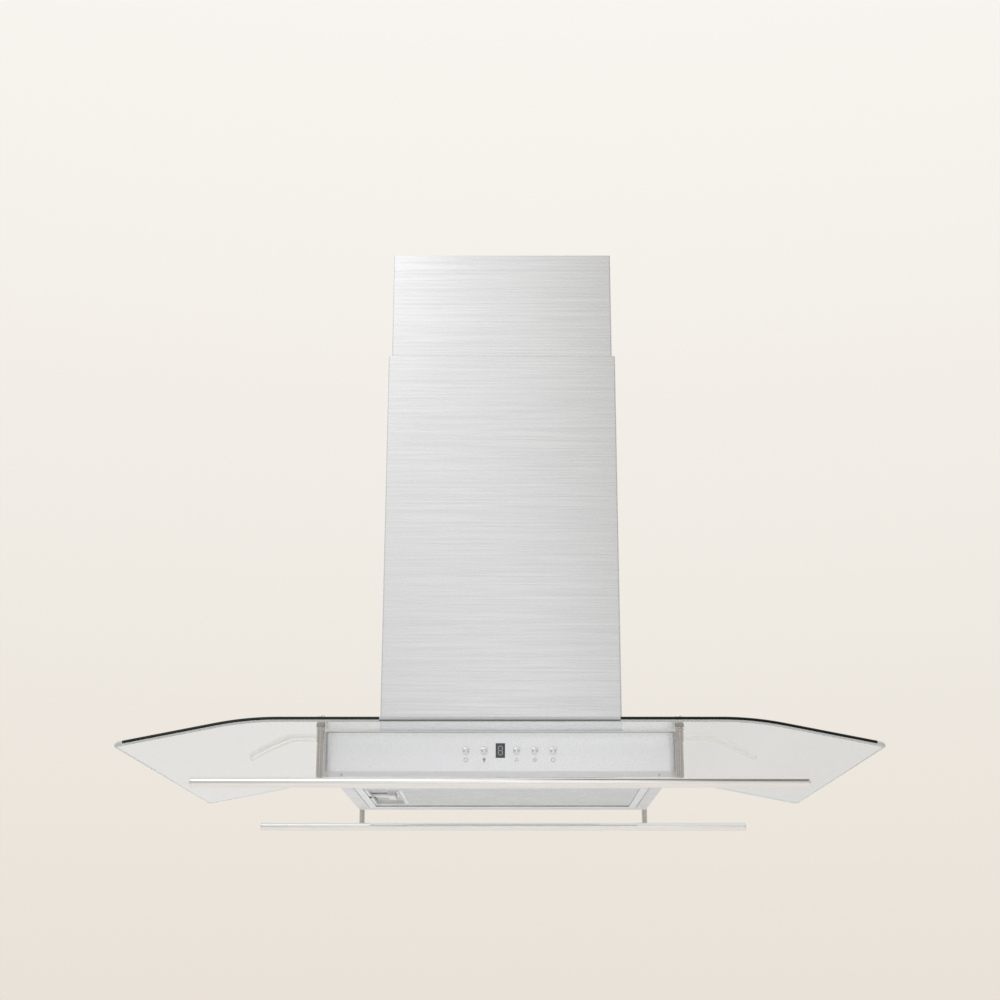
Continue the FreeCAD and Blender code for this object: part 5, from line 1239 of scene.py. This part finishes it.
def studio_floor_paint():
    """Matt emulsion on board: pale, faintly rolled, fading out towards its rim."""
    material = blank("floor_emulsion")
    roller = pattern(material, NOISE, (12, 12, 12), Detail=3.0).outputs[0]
    place = add(material, "ShaderNodeTexCoord").outputs["Object"]
    away = add(material, "ShaderNodeVectorMath", {0: place}, operation="LENGTH")
    fade_start, fade_end = 2.5, 6.5
    return surface(material, {
        "Base Color": mixed(material, ranged(material, roller, 0, 1), linear("#F8F6F2"), linear("#FAF8F5")),
        "Roughness": ranged(material, roller, 0.85, 0.95),
        "Alpha": ranged(material, away.outputs["Value"], 1, 0, fade_start, fade_end)})


class HOOD_OT_studio(bpy.types.Operator):
    """Set up the studio: the floor, the backdrop, the soft lamps and the camera"""
    bl_idname = "hood.studio"
    bl_label = "Studio"

    def execute(self, context):
        scene = bpy.context.scene
        scene.view_settings.view_transform = "Standard"
        shape = bmesh.new()
        plate(shape, ring_of(FLOOR_RADIUS, 64), Matrix.Identity(4), FLOOR_THICK)
        mesh = bpy.data.meshes.new("studio_floor")
        shape.to_mesh(mesh)
        shape.free()
        mesh.materials.append(studio_floor_paint())
        floor = bpy.data.objects.new("studio_floor", mesh)
        floor.location = (0, 0, FLOOR_HEIGHT)
        scene.collection.objects.link(floor)
        studio_air()
        softbox("softbox_left", (-1.75, -3.0, 2.3), (3.2, 0.7), 9, "#FFFFFF", through_glass=True)
        softbox("softbox_above", (0, 0, 3.0), (4.0, 4.0), 7.5, "#FFFCF8")
        view = bpy.data.cameras.new("camera")
        view.lens = LENS
        view.shift_x, view.shift_y = SHIFT
        camera = bpy.data.objects.new("camera", view)
        camera.location = EYE
        camera.rotation_euler = (math.radians(90 + EYE_TILT), 0, 0)
        scene.collection.objects.link(camera)
        scene.camera = camera
        return {"FINISHED"}


STEPS = (
    HOOD_OT_covers, HOOD_OT_fixings, HOOD_OT_canopy, HOOD_OT_rails, HOOD_OT_posts, HOOD_OT_strip,
    HOOD_OT_buttons, HOOD_OT_marks, HOOD_OT_display, HOOD_OT_tray, HOOD_OT_filter,
    HOOD_OT_insides, HOOD_OT_studio,
)


class HOOD_PT_sidebar(bpy.types.Panel):
    """Lists the hood's pieces, sizes and colours"""
    bl_idname = "HOOD_PT_sidebar"
    bl_label = "Curved glass hood"
    bl_space_type = "VIEW_3D"
    bl_region_type = "UI"
    bl_category = "Hood"

    def draw(self, context):
        for step in STEPS:
            self.layout.operator(step.bl_idname)
        for group in (context.scene.hood_sizes, context.scene.hood_colours):
            box = self.layout.box()
            for name in group.__annotations__:
                box.prop(group, name)


CLASSES = (HoodSizes, HoodColours) + STEPS + (HOOD_PT_sidebar,)


def register():
    for one in CLASSES:
        bpy.utils.register_class(one)
    bpy.types.Scene.hood_sizes = PointerProperty(type=HoodSizes)
    bpy.types.Scene.hood_colours = PointerProperty(type=HoodColours)


def unregister():
    del bpy.types.Scene.hood_colours
    del bpy.types.Scene.hood_sizes
    for one in reversed(CLASSES):
        bpy.utils.unregister_class(one)


def main():
    register()
    for step in STEPS:
        group, name = step.bl_idname.split(".")
        getattr(getattr(bpy.ops, group), name)()


if __name__ == "__main__":
    main()
